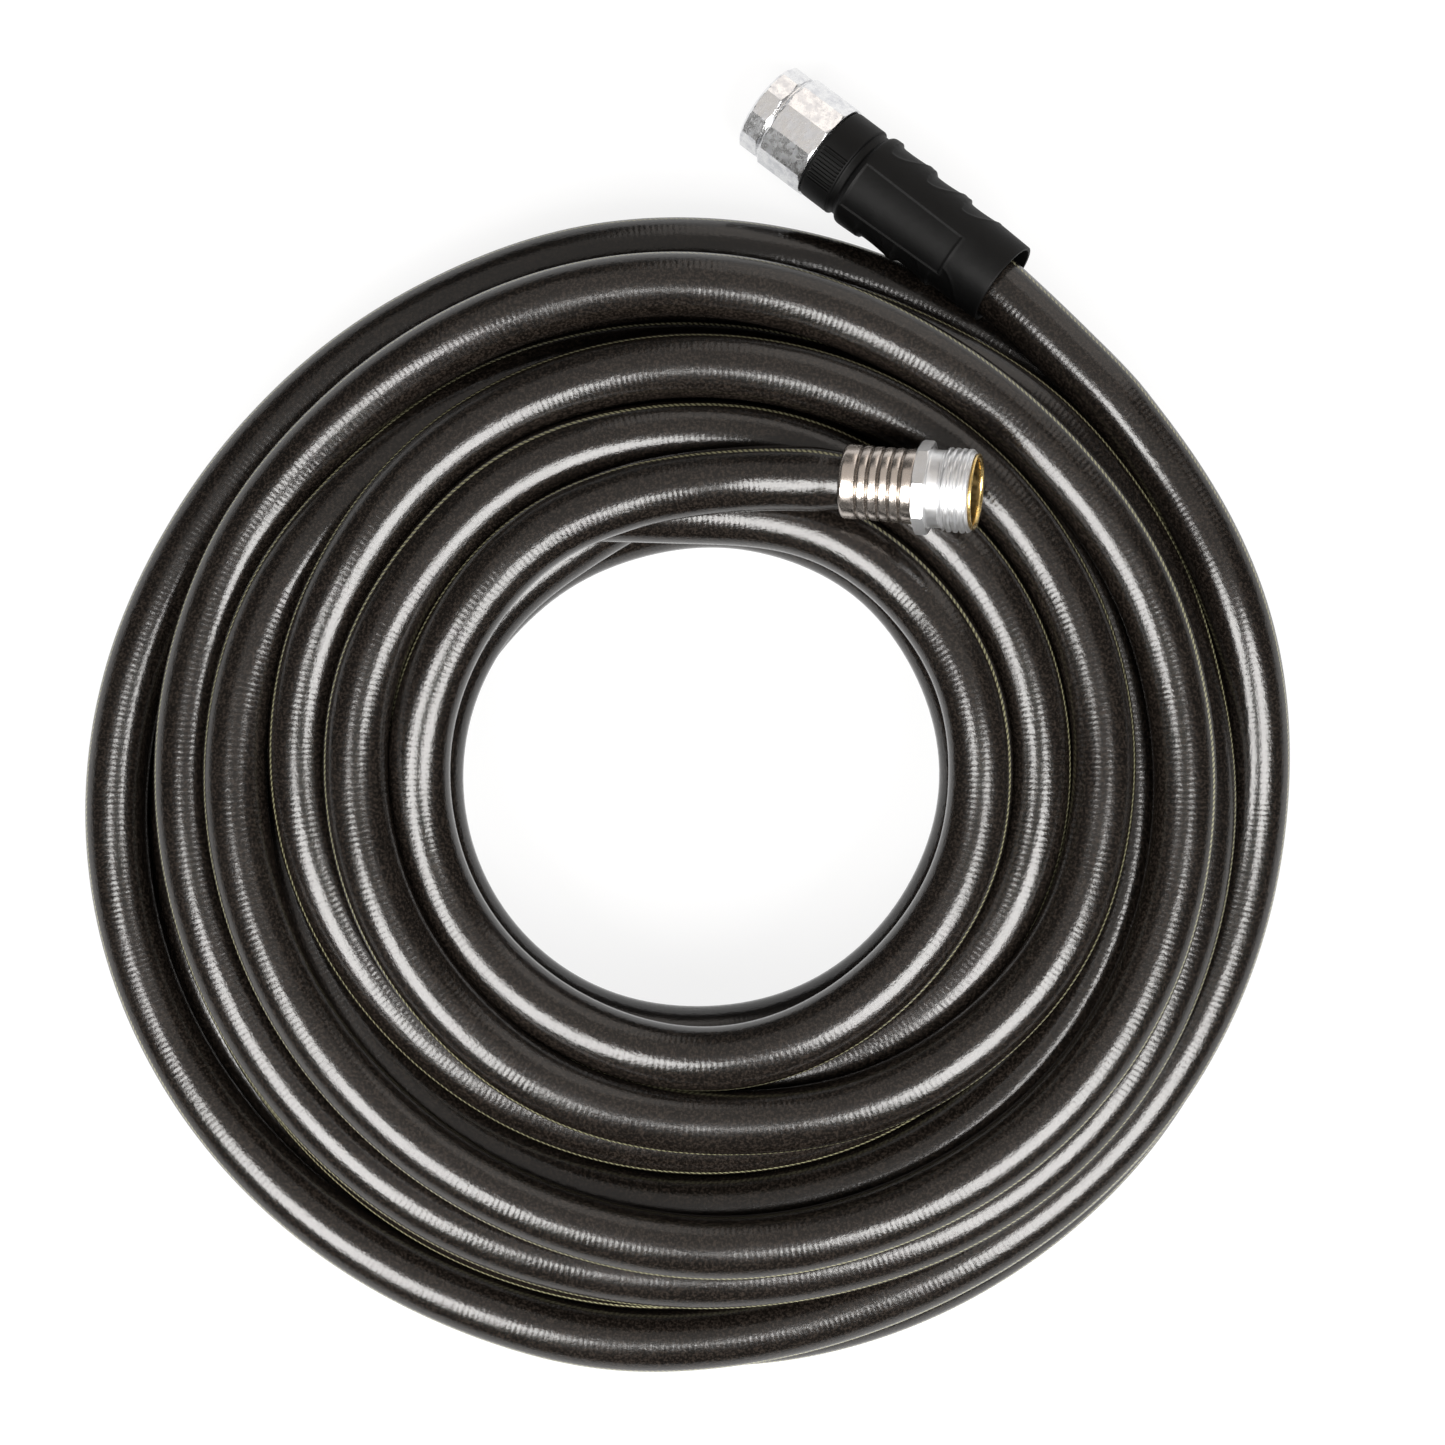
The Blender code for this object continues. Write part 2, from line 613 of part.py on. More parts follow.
def make_liner(collection, axis, material):
    outer_mouth = LINER_MOUTH_BORE_RADIUS + LINER_WALL
    outer_throat = LINER_THROAT_BORE_RADIUS + LINER_WALL
    outline = [
        (LINER_RIM_RADIUS, FIT_GAP + LINER_RIM_THICKNESS),
        (LINER_RIM_RADIUS, FIT_GAP),
        (outer_mouth, FIT_GAP),
        (outer_mouth, -LINER_TAPER_START),
        (outer_throat, -LINER_TAPER_END),
        (outer_throat, -MALE_BODY_END),
        (LINER_THROAT_BORE_RADIUS, -MALE_BODY_END),
        (LINER_THROAT_BORE_RADIUS, -LINER_TAPER_END),
        (LINER_MOUTH_BORE_RADIUS, -LINER_TAPER_START),
        (LINER_MOUTH_BORE_RADIUS, FIT_GAP + LINER_RIM_THICKNESS),
    ]
    return put(turned("male_liner", outline, TURNED_STEPS, collection, material), axis)


def make_hose(collection, cutters, base, swivel_axis, rubber):
    coil = put(turned("hose_coil", coil_outline(), COIL_STEPS, collection, rubber), base)
    routes = {"female": female_route(), "male": male_route()}
    for end, points in routes.items():
        route = smooth_route(points, HOSE_POINT_SPACING)
        name = "hose_lead_" + end
        put(tube(name, route, HOSE_RADIUS, HOSE_BEVEL_RESOLUTION, collection, rubber), base)
        pocket_route = longer(route, FIT_GAP)
        pocket = tube_as_mesh("pocket_" + end, pocket_route, HOSE_RADIUS + POCKET_GAP, cutters)
        subtract(coil, as_cutter(put(pocket, base)))
    nut_sweep_radius = max(NUT_CORNER_RADIUS, NUT_NOSE_CORNER_RADIUS) + COIL_CLEARANCE
    outside = sleeve_outside(COIL_CLEARANCE)
    outline = [
        (0, COIL_CLEARANCE),
        (nut_sweep_radius, COIL_CLEARANCE),
        (nut_sweep_radius, -SLEEVE_START),
        (SLEEVE_COLLAR_RADIUS + COIL_CLEARANCE, -SLEEVE_START),
        *outside[1:],
        (0, outside[-1][1]),
    ]
    sweep = lathe_cutter("swivel_sweep", outline, cutters)
    subtract(coil, put(sweep, swivel_axis))
    return coil


def centre_on_floor(base, collection):
    """Moves the whole model so that the middle of its box is at x = y = 0 with its base at z = 0."""
    bpy.context.view_layer.update()
    graph = bpy.context.evaluated_depsgraph_get()
    low = Vector((math.inf,) * 3)
    high = -low
    for thing in collection.objects:
        if thing.type == "EMPTY":
            continue
        solid = thing.evaluated_get(graph)
        mesh = solid.to_mesh()
        for vertex in mesh.vertices:
            place = solid.matrix_world @ vertex.co
            low = Vector(map(min, low, place))
            high = Vector(map(max, high, place))
        solid.to_mesh_clear()
    base.location = (-(low.x + high.x) / 2, -(low.y + high.y) / 2, -low.z)


def shade(collection):
    for thing in collection.objects:
        if thing.type == "MESH":
            thing.data.shade_smooth()
            thing.data.set_sharp_from_angle(angle=math.radians(30))


def main():
    clear_scene()
    parts = new_collection("coiled_hose")
    cutters = new_collection("cutters", hidden=True)
    rubber = new_material("hose_rubber", (0.022, 0.020, 0.018), 0.0, 0.45)
    grip = new_material("grip_rubber", (0.012, 0.012, 0.012), 0.0, 0.60)
    nickel = new_material("nickel_plate", (0.62, 0.60, 0.57), 1.0, 0.28)
    ferrule_metal = new_material("ferrule_metal", (0.50, 0.47, 0.43), 1.0, 0.32)
    brass = new_material("brass", (0.72, 0.45, 0.14), 1.0, 0.25)
    washer_rubber = new_material("washer_rubber", (0.03, 0.03, 0.03), 0.0, 0.70)

    base = bpy.data.objects.new("model_base", None)
    parts.objects.link(base)
    swivel_axis = axis_frame("swivel_axis", NUT_FRONT, NUT_DIRECTION, base, parts)
    male_axis = axis_frame("male_axis", MALE_MOUTH, MALE_DIRECTION, base, parts)

    make_hose(parts, cutters, base, swivel_axis, rubber)
    make_grip_sleeve(parts, cutters, swivel_axis, grip)
    make_coupling_nut(parts, cutters, swivel_axis, nickel)
    make_washer(parts, swivel_axis, washer_rubber)
    make_stem(parts, swivel_axis, brass)
    make_ferrule("female_ferrule", HOSE_START, parts, swivel_axis, ferrule_metal)
    make_ferrule("male_ferrule", MALE_BODY_END + FIT_GAP, parts, male_axis, ferrule_metal)
    make_male_coupling(parts, cutters, male_axis, nickel)
    make_liner(parts, male_axis, brass)
    centre_on_floor(base, parts)
    shade(parts)


main()
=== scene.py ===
import math

import bpy
import numpy as np
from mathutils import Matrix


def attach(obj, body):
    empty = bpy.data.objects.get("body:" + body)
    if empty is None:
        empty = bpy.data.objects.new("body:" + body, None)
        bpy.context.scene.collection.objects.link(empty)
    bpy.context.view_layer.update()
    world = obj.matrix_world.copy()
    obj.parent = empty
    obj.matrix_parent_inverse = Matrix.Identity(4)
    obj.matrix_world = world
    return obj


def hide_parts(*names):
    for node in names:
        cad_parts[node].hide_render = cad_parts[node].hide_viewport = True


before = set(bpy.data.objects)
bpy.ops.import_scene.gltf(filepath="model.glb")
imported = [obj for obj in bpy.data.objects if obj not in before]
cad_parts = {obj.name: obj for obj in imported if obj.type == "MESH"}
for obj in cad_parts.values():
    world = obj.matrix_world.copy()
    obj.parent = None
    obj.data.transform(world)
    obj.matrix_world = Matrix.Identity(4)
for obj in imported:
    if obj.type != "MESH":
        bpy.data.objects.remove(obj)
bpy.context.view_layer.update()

bl_info = {
    "name": "Coiled hose",
    "version": (1, 0, 0),
    "blender": (4, 5, 0),
    "location": "3D View > Sidebar > Coiled hose",
    "description": "Lays the hose in its coil and dresses its swivel end and its threaded end",
    "category": "Object",
}

MM = 0.001

# Ring: its centre on the floor, and the turns that the two leads join
RING_CENTRE = np.array([-0.000048, -0.022919, 0.0])
OUTER_TURN = 185.5 * MM
TOP_TURN = 95.0 * MM
TOP_TURN_Z = 66.0 * MM

# Swivel end: distances are back from the nut's front face, along its axis
NUT_FRONT = np.array([0.024455, 0.206571, 0.016597])
NUT_HEADING = math.radians(141.4)
NUT_DROOP = math.radians(11.0)
NUT_SIDES = 12
NUT_TURN = math.radians(8.0)
NOSE_FLAT = 15.94 * MM
NOSE_END = 8.1 * MM
BODY_FLAT = 17.0 * MM
SLEEVE_START = 27.5 * MM
SLEEVE_END = 102.0 * MM
HOSE_START = 36.5 * MM
FERRULE_END = 60.5 * MM
LEAD_OFFSET = 2.1 * MM

# Threaded end: distances are back from its mouth, along its axis
MALE_MOUTH = np.array([0.089043, 0.070959, 0.097985])
MALE_HEADING = math.radians(-5.6)
MALE_RISE = math.radians(13.0)
MALE_HOSE_START = 18.2 * MM
MALE_FERRULE_END = 42.2 * MM
THREAD_PITCH = 2.2 * MM
THREAD_END = 9.9 * MM
COLLAR_SIDES = 8

# Where the hose's line runs: bearing and radius in degrees and millimetres round the ring, from the
# nut's end to the threaded one. The hose runs clockwise, and its place along the coil is the angle
# that it has turned since the sleeve's mouth.
MOUTH_BEARING = 58.4
RISING_OUTER = [
    (41, 188.5), (20, 186), (0, 185.5), (-20, 184.5), (-40, 183.5), (-60, 181.5), (-80, 180),
    (-90, 180.5), (-100, 182.5), (-120, 187.5), (-140, 192.5), (-155, 195), (-170, 195), (-180, 193.5),
    (-190, 190.5), (-200, 186.5), (-210, 182.5), (-220, 180.5), (-240, 178.5), (-260, 177), (-280, 174.5),
    (-295, 172),
]
TOP_OUTER = [
    (280, 162), (260, 162), (240, 164), (210, 166.5), (180, 168), (150, 169), (120, 169.5), (100, 167),
    (80, 162.5), (60, 158.5), (40, 157), (20, 158), (0, 159), (-20, 159), (-40, 157), (-60, 154),
    (-80, 151), (-100, 147.5), (-120, 146), (-130, 146), (-160, 147.5), (-180, 148.5), (-220, 147),
    (-240, 146), (-270, 145.5),
]
BELOW_OUTER = [
    (-300, 147.5), (-340, 147.5), (-380, 145), (-420, 139.5), (-460, 138), (-500, 137), (-560, 139.5),
    (-600, 139.5), (-630, 136.5), (-660, 131.5), (-700, 126.5), (-740, 125),
]
TOP_MIDDLE = [
    (290, 119.5), (270, 118), (240, 121), (210, 124), (180, 128.5), (150, 131.5), (120, 134.5), (90, 137),
    (60, 138), (30, 135), (0, 130), (-20, 126.5), (-40, 121.5), (-60, 115), (-80, 108), (-100, 104),
    (-120, 103), (-140, 103.5), (-160, 106), (-180, 108.5), (-200, 110.5), (-220, 112), (-240, 112.5),
    (-260, 112), (-275, 111.5),
]
BELOW_MIDDLE = [
    (-300, 113.5), (-320, 114.5), (-340, 114.5), (-360, 112.5), (-380, 110), (-400, 106), (-430, 103),
    (-470, 101), (-520, 101), (-570, 102.5), (-600, 101.5),
]
TOP_INNER = [
    (80, 94.5), (60, 96.5), (40, 97.5), (20, 97.5), (0, 95.5), (-20, 94.5), (-40, 92.5), (-60, 92),
    (-80, 92.5), (-100, 92.5), (-120, 92), (-140, 92), (-160, 92.5), (-180, 93), (-200, 94.5),
    (-220, 95), (-240, 95), (-256, 95.5),
]
# Bearing and radius of the outermost and the innermost line that any strand may follow
RIM = [
    (0, 189), (40, 188), (60, 180), (80, 179.5), (100, 181), (120, 181.5), (140, 183.5), (160, 189),
    (180, 196), (200, 198), (220, 195.5), (240, 191.5), (260, 188.5), (300, 188.5), (340, 188.5), (360, 189),
]
BORE = [
    (0, 92.5), (50, 93), (75, 91), (100, 89), (130, 89), (180, 87.5), (240, 86), (270, 85.5), (300, 87.5),
    (340, 90), (360, 92.5),
]
# How far in from the rim the later strands stay, from which point on and above what height
RIM_LANE, LANE_FROM, LANE_ABOVE = 17.0 * MM, 130, 20 * MM
# The strands that the photograph shows and those that dive under them: their bearings and radii, the turn
# that they are counted in, their heights as degrees further on and millimetres, and how firmly they stay
STRANDS = [
    (RISING_OUTER, 0, [(17, 42), (60, 36), (118, 54), (160, 54), (218, 36), (290, 34), (335, 11)], 1.0),
    (TOP_OUTER, 12, [(0, 36), (45, 58), (100, 66), (490, 72), (550, 56)], 1.0),
    (BELOW_OUTER, 12, [(0, 58)], 0.35),
    (TOP_MIDDLE, 15, [(0, 62), (60, 82), (500, 85), (560, 62)], 1.0),
    (BELOW_MIDDLE, 15, [(0, 60)], 0.35),
    (TOP_INNER, 17, [(0, 64), (60, 85), (400, 80)], 1.0),
]
# Hidden turns, by degrees turned; their radius as its middle, swing and the bearing where it is widest,
# and their heights, in millimetres
FIRST_HIDDEN, TURNED_OVER, HIDDEN_STEP, ROW_START = 390.0, 2300.0, 30.0, 358.0
EVEN_TURNS, EVEN_PITCH = 3.0, 20.9 * MM
HIDDEN_OUTER, HIDDEN_INNER = (181.5, 8.5, 235.0), (90.5, 3.8, 35.0)
FLOOR_LEVEL, FLOOR_LIFT, UPPER_LEVEL = 10.5, 6.0, 34.0
UPPER_REACH, UPPER_CLIMB, HIDDEN_GRIP = 0.92, 0.25, 0.15
# The leads' points beside the coil: how far beyond the turn, at what bearing, and the height above the
# sleeve's mouth or the share of the climb to the ferrule
FIRST_BESIDE, LAST_BESIDE = (4.2 * MM, 50, 3.8 * MM), (5.5 * MM, 80, 0.68)
# Settling: the line's steps, in degrees before it is evened out and in metres after, and its rounds
ROUGH_STEP, LAY_STEP = 5.0, 10.0 * MM
LAY_ROUNDS, QUICK_LAY_ROUNDS = 900, 260
# The leads' grip and what counts as held, how soon the hold fades from there, and the pull to the photograph
LEAD_GRIP, HELD_GRIP = 9.0, 2.0
HOLD_FADE, LEAST_HOLD, PULL = 0.8, 0.002, 0.12
# How far a point sinks in a round, and how fast strands part and come back inside the coil's rim and bore
SINK, PARTING, WALL_PUSH = 0.5 * MM, 2.2, 0.7
# Pairs that may touch: their spare distance, least points apart along the line, and rounds between searches
PAIR_REACH, PAIR_APART, PAIR_EVERY = 7 * MM, 7, 8
ROWS_AT_ONCE, TINY = 256, 1e-9
# The evening's two moves, as shares of the way to the middle of a point's neighbours, and its rounds
EVENING_SHARES, EVENING_ROUNDS = (0.5, -0.51), 14
# Until which share of the rounds: the weight, the passes that part strands, the pull, and how many passes
# smooth the line in every so many rounds
PHASES = [
    (0.5, 1.0, 2, 1.0, 2, 1), (0.6, 1.0, 2, 1.0, 1, 1), (0.88, 0.4, 2, 1.0, 1, 1), (1.0, 0.0, 4, 0.05, 1, 2),
]
# The fittings as tapered rods, and how many of the line's points at that end are their own
SWIVEL_ROD, THREADED_ROD = (17.6 * MM, 15.4 * MM), (12.1 * MM, 13.6 * MM)
OWN_SWIVEL, OWN_THREADED = 14, 12
TUBE_STEP, TUBE_SIDES = 4.0 * MM, 24
# The cover is drawn in by the crimp just behind the far ferrule: share of the radius, and reach along it
PINCH, PINCH_REACH = 0.1, 5.0 * MM
# Thin marker thread in the cover, on the side that faces out of the coil: its middle's place round the hose,
# its width, how far it wanders and over what length, and how its twist breaks it up
STRIPE_PLACE, STRIPE_WIDTH = 10.5 * MM * math.radians(156.0), 1.4 * MM
STRIPE_BEND, STRIPE_DRIFT = 0.35, 12 * MM
STRIPE_TWIST, STRIPE_LEAN = 1.7 * MM, 2600.0
STRIPE_COLOUR = (0.25, 0.24, 0.14, 1.0)
# Cross ridges in the cover: spacing along it, lean in radians a metre round it, and how far they wander
RIDGE_PITCH, RIDGE_LEAN, RIDGE_WANDER = 1.85 * MM, 95.0, 2.2
BRAID_PITCH, BRAID_LEAN = 3.7 * MM, 620.0
# A corner's rounding in an outline: the least in millimetres, the most of a straight, and its points
LEAST_ROUNDING, MOST_ROUNDING, ROUNDING_POINTS = 0.03, 0.45, 5
# Colours: dirt specks on brass, the darker brown laid in the liner's bore, and the washer with its dust;
# and how sharply the painted shade in the ferrule's grooves ends past the outer grooves
DIRT_COLOUR, BORE_DARK_COLOUR = (0.02, 0.014, 0.008, 1.0), (0.03, 0.018, 0.008, 1.0)
WASHER_COLOUR, DUSTY_COLOUR = (0.016, 0.016, 0.016, 1.0), (0.05, 0.048, 0.045, 1.0)
GROOVE_SHADE_FADE = 0.1 * MM

# Stage: the floor's painted glow fades between two distances to its far colour. The picture spans so many
# metres at a height over the floor. Lights are placed by azimuth and rise in degrees, and distance.
PAINTED_GLOW_SPAN, FAR_GLOW, FLOOR_HALF = (0.4, 1.8), (0.25, 0.25, 0.25, 1.0), 3.0
SENSOR, CLIPPING = 36.0, (0.05, 50.0)
PICTURE_SPAN, PICTURE_HEIGHT = 0.4769, 0.050
CAMERA_PLACE = (0.0091, -0.0023)
SOFTBOX_PLACES = {"left": (225.0, 55.0, 1.6), "right": (315.0, 55.0, 1.6)}
CEILING_PLACE, CEILING_SIZE = (90.0, 68.0, 2.3), (3.0, 3.0)
WALL_PLACE, WALL_SIZE = (65.0, 14.0, 2.6), (2.4, 2.4)
SOFTBOX_COLOUR, PANEL_COLOUR = (1.0, 0.985, 0.965), (1.0, 0.93, 0.87)
AIR_COLOUR = (1.0, 0.995, 0.985, 1.0)


def unit(vector):
    return vector / np.linalg.norm(vector)


def direction(heading, rise):
    """(cos heading cos rise, sin heading cos rise, sin rise)."""
    return np.array([math.cos(heading) * math.cos(rise), math.sin(heading) * math.cos(rise), math.sin(rise)])


class Axis:
    """A fitting's own frame: its mouth, the way back along it, up, and the side to the right of up."""

    def __init__(self, mouth, pointing):
        self.mouth = mouth
        self.back = -pointing
        self.up = unit(np.array([0.0, 0.0, 1.0]) - self.back * self.back[2])
        self.side = np.cross(self.back, self.up)

    def at(self, distance, offset=0.0):
        """The point that far back on the axis, moved sideways by the offset."""
        return self.mouth + self.back * distance + self.side * offset

    def round(self, distance, radius, angle):
        """Mouth + back times distance + radius times (up cos angle + side sin angle), as whole arrays."""
        across = self.up * np.cos(angle)[..., None] + self.side * np.sin(angle)[..., None]
        return self.mouth + self.back * distance[..., None] + across * radius[..., None]


SWIVEL = Axis(NUT_FRONT, direction(NUT_HEADING, -NUT_DROOP))
THREADED = Axis(MALE_MOUTH, direction(MALE_HEADING, MALE_RISE))


def polar(radius, bearing, height):
    """A point round the ring's centre: (radius cos bearing, radius sin bearing, height)."""
    turn = math.radians(bearing)
    return RING_CENTRE + np.array([radius * math.cos(turn), radius * math.sin(turn), height])


def eased(knots, values, where):
    """Cubic through the knots: each stretch is the Hermite cubic with the slopes of central differences."""
    slopes = np.gradient(values, knots, axis=0)
    stretch = np.clip(np.searchsorted(knots, where, side="right") - 1, 0, len(knots) - 2)
    width = knots[stretch + 1] - knots[stretch]
    t = (where - knots[stretch]) / width
    if values.ndim > 1:
        t, width = t[:, None], width[:, None]
    begin = (1 + 2 * t) * (1 - t) ** 2 * values[stretch] + t * (1 - t) ** 2 * width * slopes[stretch]
    end = t * t * (3 - 2 * t) * values[stretch + 1] + t * t * (t - 1) * width * slopes[stretch + 1]
    return begin + end


def lengths_along(points):
    """Distance of each point from the first one, along the line through them."""
    return np.r_[0.0, np.cumsum(np.linalg.norm(np.diff(points, axis=0), axis=1))]


def evenly(points, step):
    """The same line with its points a step apart."""
    along = lengths_along(points)
    fine = eased(along, points, np.arange(0.0, along[-1], min(step / 5, 2 * MM)))
    along = lengths_along(fine)
    spots = np.linspace(0.0, along[-1], int(round(along[-1] / step)) + 1)
    return np.stack([np.interp(spots, along, fine[:, k]) for k in range(3)], 1)


def turned_at(bearing, turn):
    """Degrees that the hose has turned since the sleeve's mouth at a bearing in a turn."""
    return MOUTH_BEARING - bearing + 360 * turn


def strand(table, turn, heights, grip):
    """Rows of degrees turned, radius, height and grip for a strand. Its heights count from its first row,
    and in the first turn from the sleeve's mouth."""
    bearings, radii = np.array(table).T
    spots = turned_at(bearings, turn)
    further, levels = np.array(heights).T
    levels = np.interp(spots, further + (spots[0] if turn else 0.0), levels)
    return np.stack([spots, radii * MM, levels * MM, np.full(len(spots), grip)], 1)


def oval(shape, bearing):
    """Middle + swing cos(bearing - widest), brought to metres."""
    middle, swing, widest = shape
    return (middle + swing * np.cos(bearing - math.radians(widest))) * MM


def hidden_turns(last):
    """Rows for the turns underneath: a spiral inwards on the floor, then one outwards on top of it.

    The first turns go in by an even pitch and the rest share what is left of the width."""
    spots = np.arange(FIRST_HIDDEN, last, HIDDEN_STEP)
    bearing = np.radians(MOUTH_BEARING - spots)
    turn = (spots - ROW_START) / 360.0
    row_end = (TURNED_OVER - ROW_START) / 360.0
    outer, inner = oval(HIDDEN_OUTER, bearing), oval(HIDDEN_INNER, bearing)
    rest = np.maximum(turn - EVEN_TURNS, 0.0) / (row_end - EVEN_TURNS)
    even = EVEN_PITCH * np.minimum(turn, EVEN_TURNS)
    lower = outer - even - (outer - EVEN_PITCH * EVEN_TURNS - inner) * rest
    facing = 0.5 + 0.5 * np.cos(bearing - math.radians(HIDDEN_INNER[2]))
    lift = (FLOOR_LEVEL + FLOOR_LIFT * rest * facing) * MM
    share = (turn - row_end) / ((last + HIDDEN_STEP - TURNED_OVER) / 360.0)
    upper = inner + (outer - inner) * share * UPPER_REACH
    climb = np.interp(turn, [row_end, row_end + UPPER_CLIMB], [FLOOR_LEVEL * MM, UPPER_LEVEL * MM])
    on_floor = turn < row_end
    radius = np.where(on_floor, lower, upper)
    height = np.where(on_floor, lift, climb)
    return np.stack([spots, radius, height, np.full(len(spots), HIDDEN_GRIP)], 1)


def coil_rows():
    """Every strand between the two leads, in order along the hose."""
    strands = [strand(*row) for row in STRANDS]
    comes_up = strands[1][0, 0]
    rows = np.vstack([*strands, hidden_turns(comes_up - HIDDEN_STEP)])
    return rows[np.argsort(rows[:, 0])]


def lead_points():
    """The two free ends: from inside the nut's ferrule to the coil, and from it to the threaded end."""
    inward = SWIVEL.side * LEAD_OFFSET
    start, crimp, mouth = (SWIVEL.at(back) for back in (HOSE_START, FERRULE_END, SLEEVE_END))
    out, bearing, lift = FIRST_BESIDE
    first = [
        start, (start + crimp) / 2, crimp, (crimp + mouth) / 2 + inward / 4, mouth + inward,
        polar(OUTER_TURN + out, bearing, mouth[2] + lift),
    ]
    rear, end = THREADED.at(MALE_FERRULE_END), THREADED.at(MALE_HOSE_START)
    out, bearing, climb = LAST_BESIDE
    beside = polar(TOP_TURN + out, bearing, TOP_TURN_Z + (rear[2] - TOP_TURN_Z) * climb)
    return np.array(first), np.array([beside, rear, (rear + end) / 2, end])


def rough_line():
    """The hose's line before it settles, with how firmly each point keeps its place seen from above."""
    rows = coil_rows()
    spots = np.arange(rows[0, 0], rows[-1, 0], ROUGH_STEP)
    radius, height = (eased(rows[:, 0], rows[:, k], spots) for k in (1, 2))
    bearing = np.radians(MOUTH_BEARING - spots)
    body = RING_CENTRE + np.stack([radius * np.cos(bearing), radius * np.sin(bearing), height], 1)
    first, last = lead_points()
    line = np.vstack([first, body, last])
    near, far = (np.full(len(lead), LEAD_GRIP) for lead in (first, last))
    grip = np.r_[near, np.interp(spots, rows[:, 0], rows[:, 3]), far]
    even = evenly(line, LAY_STEP)
    spread = np.linspace(0.0, lengths_along(line)[-1], len(even))
    return even, np.interp(spread, lengths_along(line), grip)


def close_pairs(points, reach, apart):
    """Pairs of points nearer than the reach that are more than so many points apart along the line."""
    first, second = [], []
    for start in range(0, len(points), ROWS_AT_ONCE):
        gap = points[start:start + ROWS_AT_ONCE, None, :] - points[None, :, :]
        a, b = np.nonzero((gap * gap).sum(2) < reach * reach)
        a = a + start
        keep = b - a > apart
        first.append(a[keep])
        second.append(b[keep])
    return np.concatenate(first), np.concatenate(second)


def pushed_apart(points, pairs, diameter, held):
    """Moves for points that overlap: each pair moves apart by what it lacks of a diameter."""
    a, b = pairs
    gap = points[b] - points[a]
    length = np.linalg.norm(gap, axis=1)
    hit = length < diameter
    a, b, gap, length = a[hit], b[hit], gap[hit], length[hit]
    push = gap / length[:, None] * (diameter - length)[:, None]
    free_a, free_b = 1.0 - held[a], 1.0 - held[b]
    total = np.maximum(free_a + free_b, TINY)
    count = len(points)
    touching = np.maximum(np.bincount(a, minlength=count) + np.bincount(b, minlength=count), 1)
    moves = np.empty_like(points)
    for k in range(3):
        back = np.bincount(b, push[:, k] * free_b / total, count)
        moves[:, k] = (back - np.bincount(a, push[:, k] * free_a / total, count)) / touching
    return moves * PARTING


def off_fitting(points, near, far, near_radius, far_radius, free):
    """Moves for points inside a tapered rod between two ends, straight out to its surface."""
    line = far - near
    t = np.clip((points - near) @ line / (line @ line), 0.0, 1.0)
    out = points - (near + t[:, None] * line)
    length = np.linalg.norm(out, axis=1)
    lack = np.maximum(near_radius + (far_radius - near_radius) * t - length, 0.0) * free
    return out / np.maximum(length, TINY)[:, None] * lack[:, None]


def settled_line(diameter, rounds):
    """The hose's line after it settles under its weight.

    Each round sinks the points, parts strands that overlap, keeps them on the floor, inside the coil's rim
    and bore and off the fittings, then pulls them back to where the photograph shows them and smooths the
    moves along the hose, which stands for its stiffness."""
    start, grip = rough_line()
    count, radius = len(start), diameter / 2
    order = np.arange(count)
    held = (grip > HELD_GRIP).astype(float)
    free = 1.0 - held
    lead_ends = np.flatnonzero(np.diff(held))
    hold = 0.5 ** (np.minimum(order - lead_ends[0], lead_ends[1] + 1 - order) * HOLD_FADE).clip(0)
    hold = np.where(held > 0, 1.0, np.where(hold > LEAST_HOLD, hold, 0.0))[:, None]
    pull = np.where(held > 0, 0.0, np.clip(grip, 0.0, 1.0) * PULL)[:, None]
    lane = np.where(order > LANE_FROM, RIM_LANE, 0.0)
    fittings = []
    for near, far, (near_radius, far_radius), own in (
        (SWIVEL.at(0.0), SWIVEL.at(SLEEVE_END), SWIVEL_ROD, order > OWN_SWIVEL),
        (THREADED.at(MALE_FERRULE_END), THREADED.at(0.0), THREADED_ROD, order < count - OWN_THREADED),
    ):
        fittings.append((near, far, near_radius + radius, far_radius + radius, free * own))
    bearings_rim, rim = np.array(RIM).T
    bearings_bore, bore = np.array(BORE).T
    moves = np.zeros_like(start)
    for turn in range(rounds):
        share = turn / rounds
        sinking, partings, pulling, smoothings, every = next(row[1:] for row in PHASES if share < row[0])
        if turn % PAIR_EVERY == 0:
            pairs = close_pairs(start + moves, diameter + PAIR_REACH, PAIR_APART)
        moves[:, 2] -= SINK * free * sinking
        for _ in range(partings):
            moves += pushed_apart(start + moves, pairs, diameter, held)
            moves[:, 2] += np.maximum(0.0, radius - start[:, 2] - moves[:, 2]) * free
        place = start + moves - RING_CENTRE
        reach = np.hypot(place[:, 0], place[:, 1])
        bearing = np.degrees(np.arctan2(place[:, 1], place[:, 0])) % 360
        inner = np.interp(bearing, bearings_bore, bore) * MM
        outer = np.interp(bearing, bearings_rim, rim) * MM - lane * (place[:, 2] > LANE_ABOVE)
        shift = (np.clip(reach, inner, outer) / reach - 1.0) * free * WALL_PUSH
        moves[:, :2] += place[:, :2] * shift[:, None]
        for fitting in fittings:
            moves += off_fitting(start + moves, *fitting)
        moves[:, :2] -= pull * moves[:, :2] * pulling
        moves *= 1.0 - hold
        for _ in range(smoothings if (turn + 1) % every == 0 else 0):
            moves[1:-1] = (0.5 * moves[1:-1] + 0.25 * (moves[2:] + moves[:-2])) * free[1:-1, None]
    return evened(start + moves, free)


def evened(line, free):
    """The line with its short kinks taken out: each point moves half way to the middle of its neighbours,
    then nearly as far back, which leaves the long bends as wide as they were."""
    for share in EVENING_SHARES * EVENING_ROUNDS:
        middle = (line[2:] + line[:-2]) / 2 - line[1:-1]
        line = line.copy()
        line[1:-1] += middle * share * free[1:-1, None]
    return line


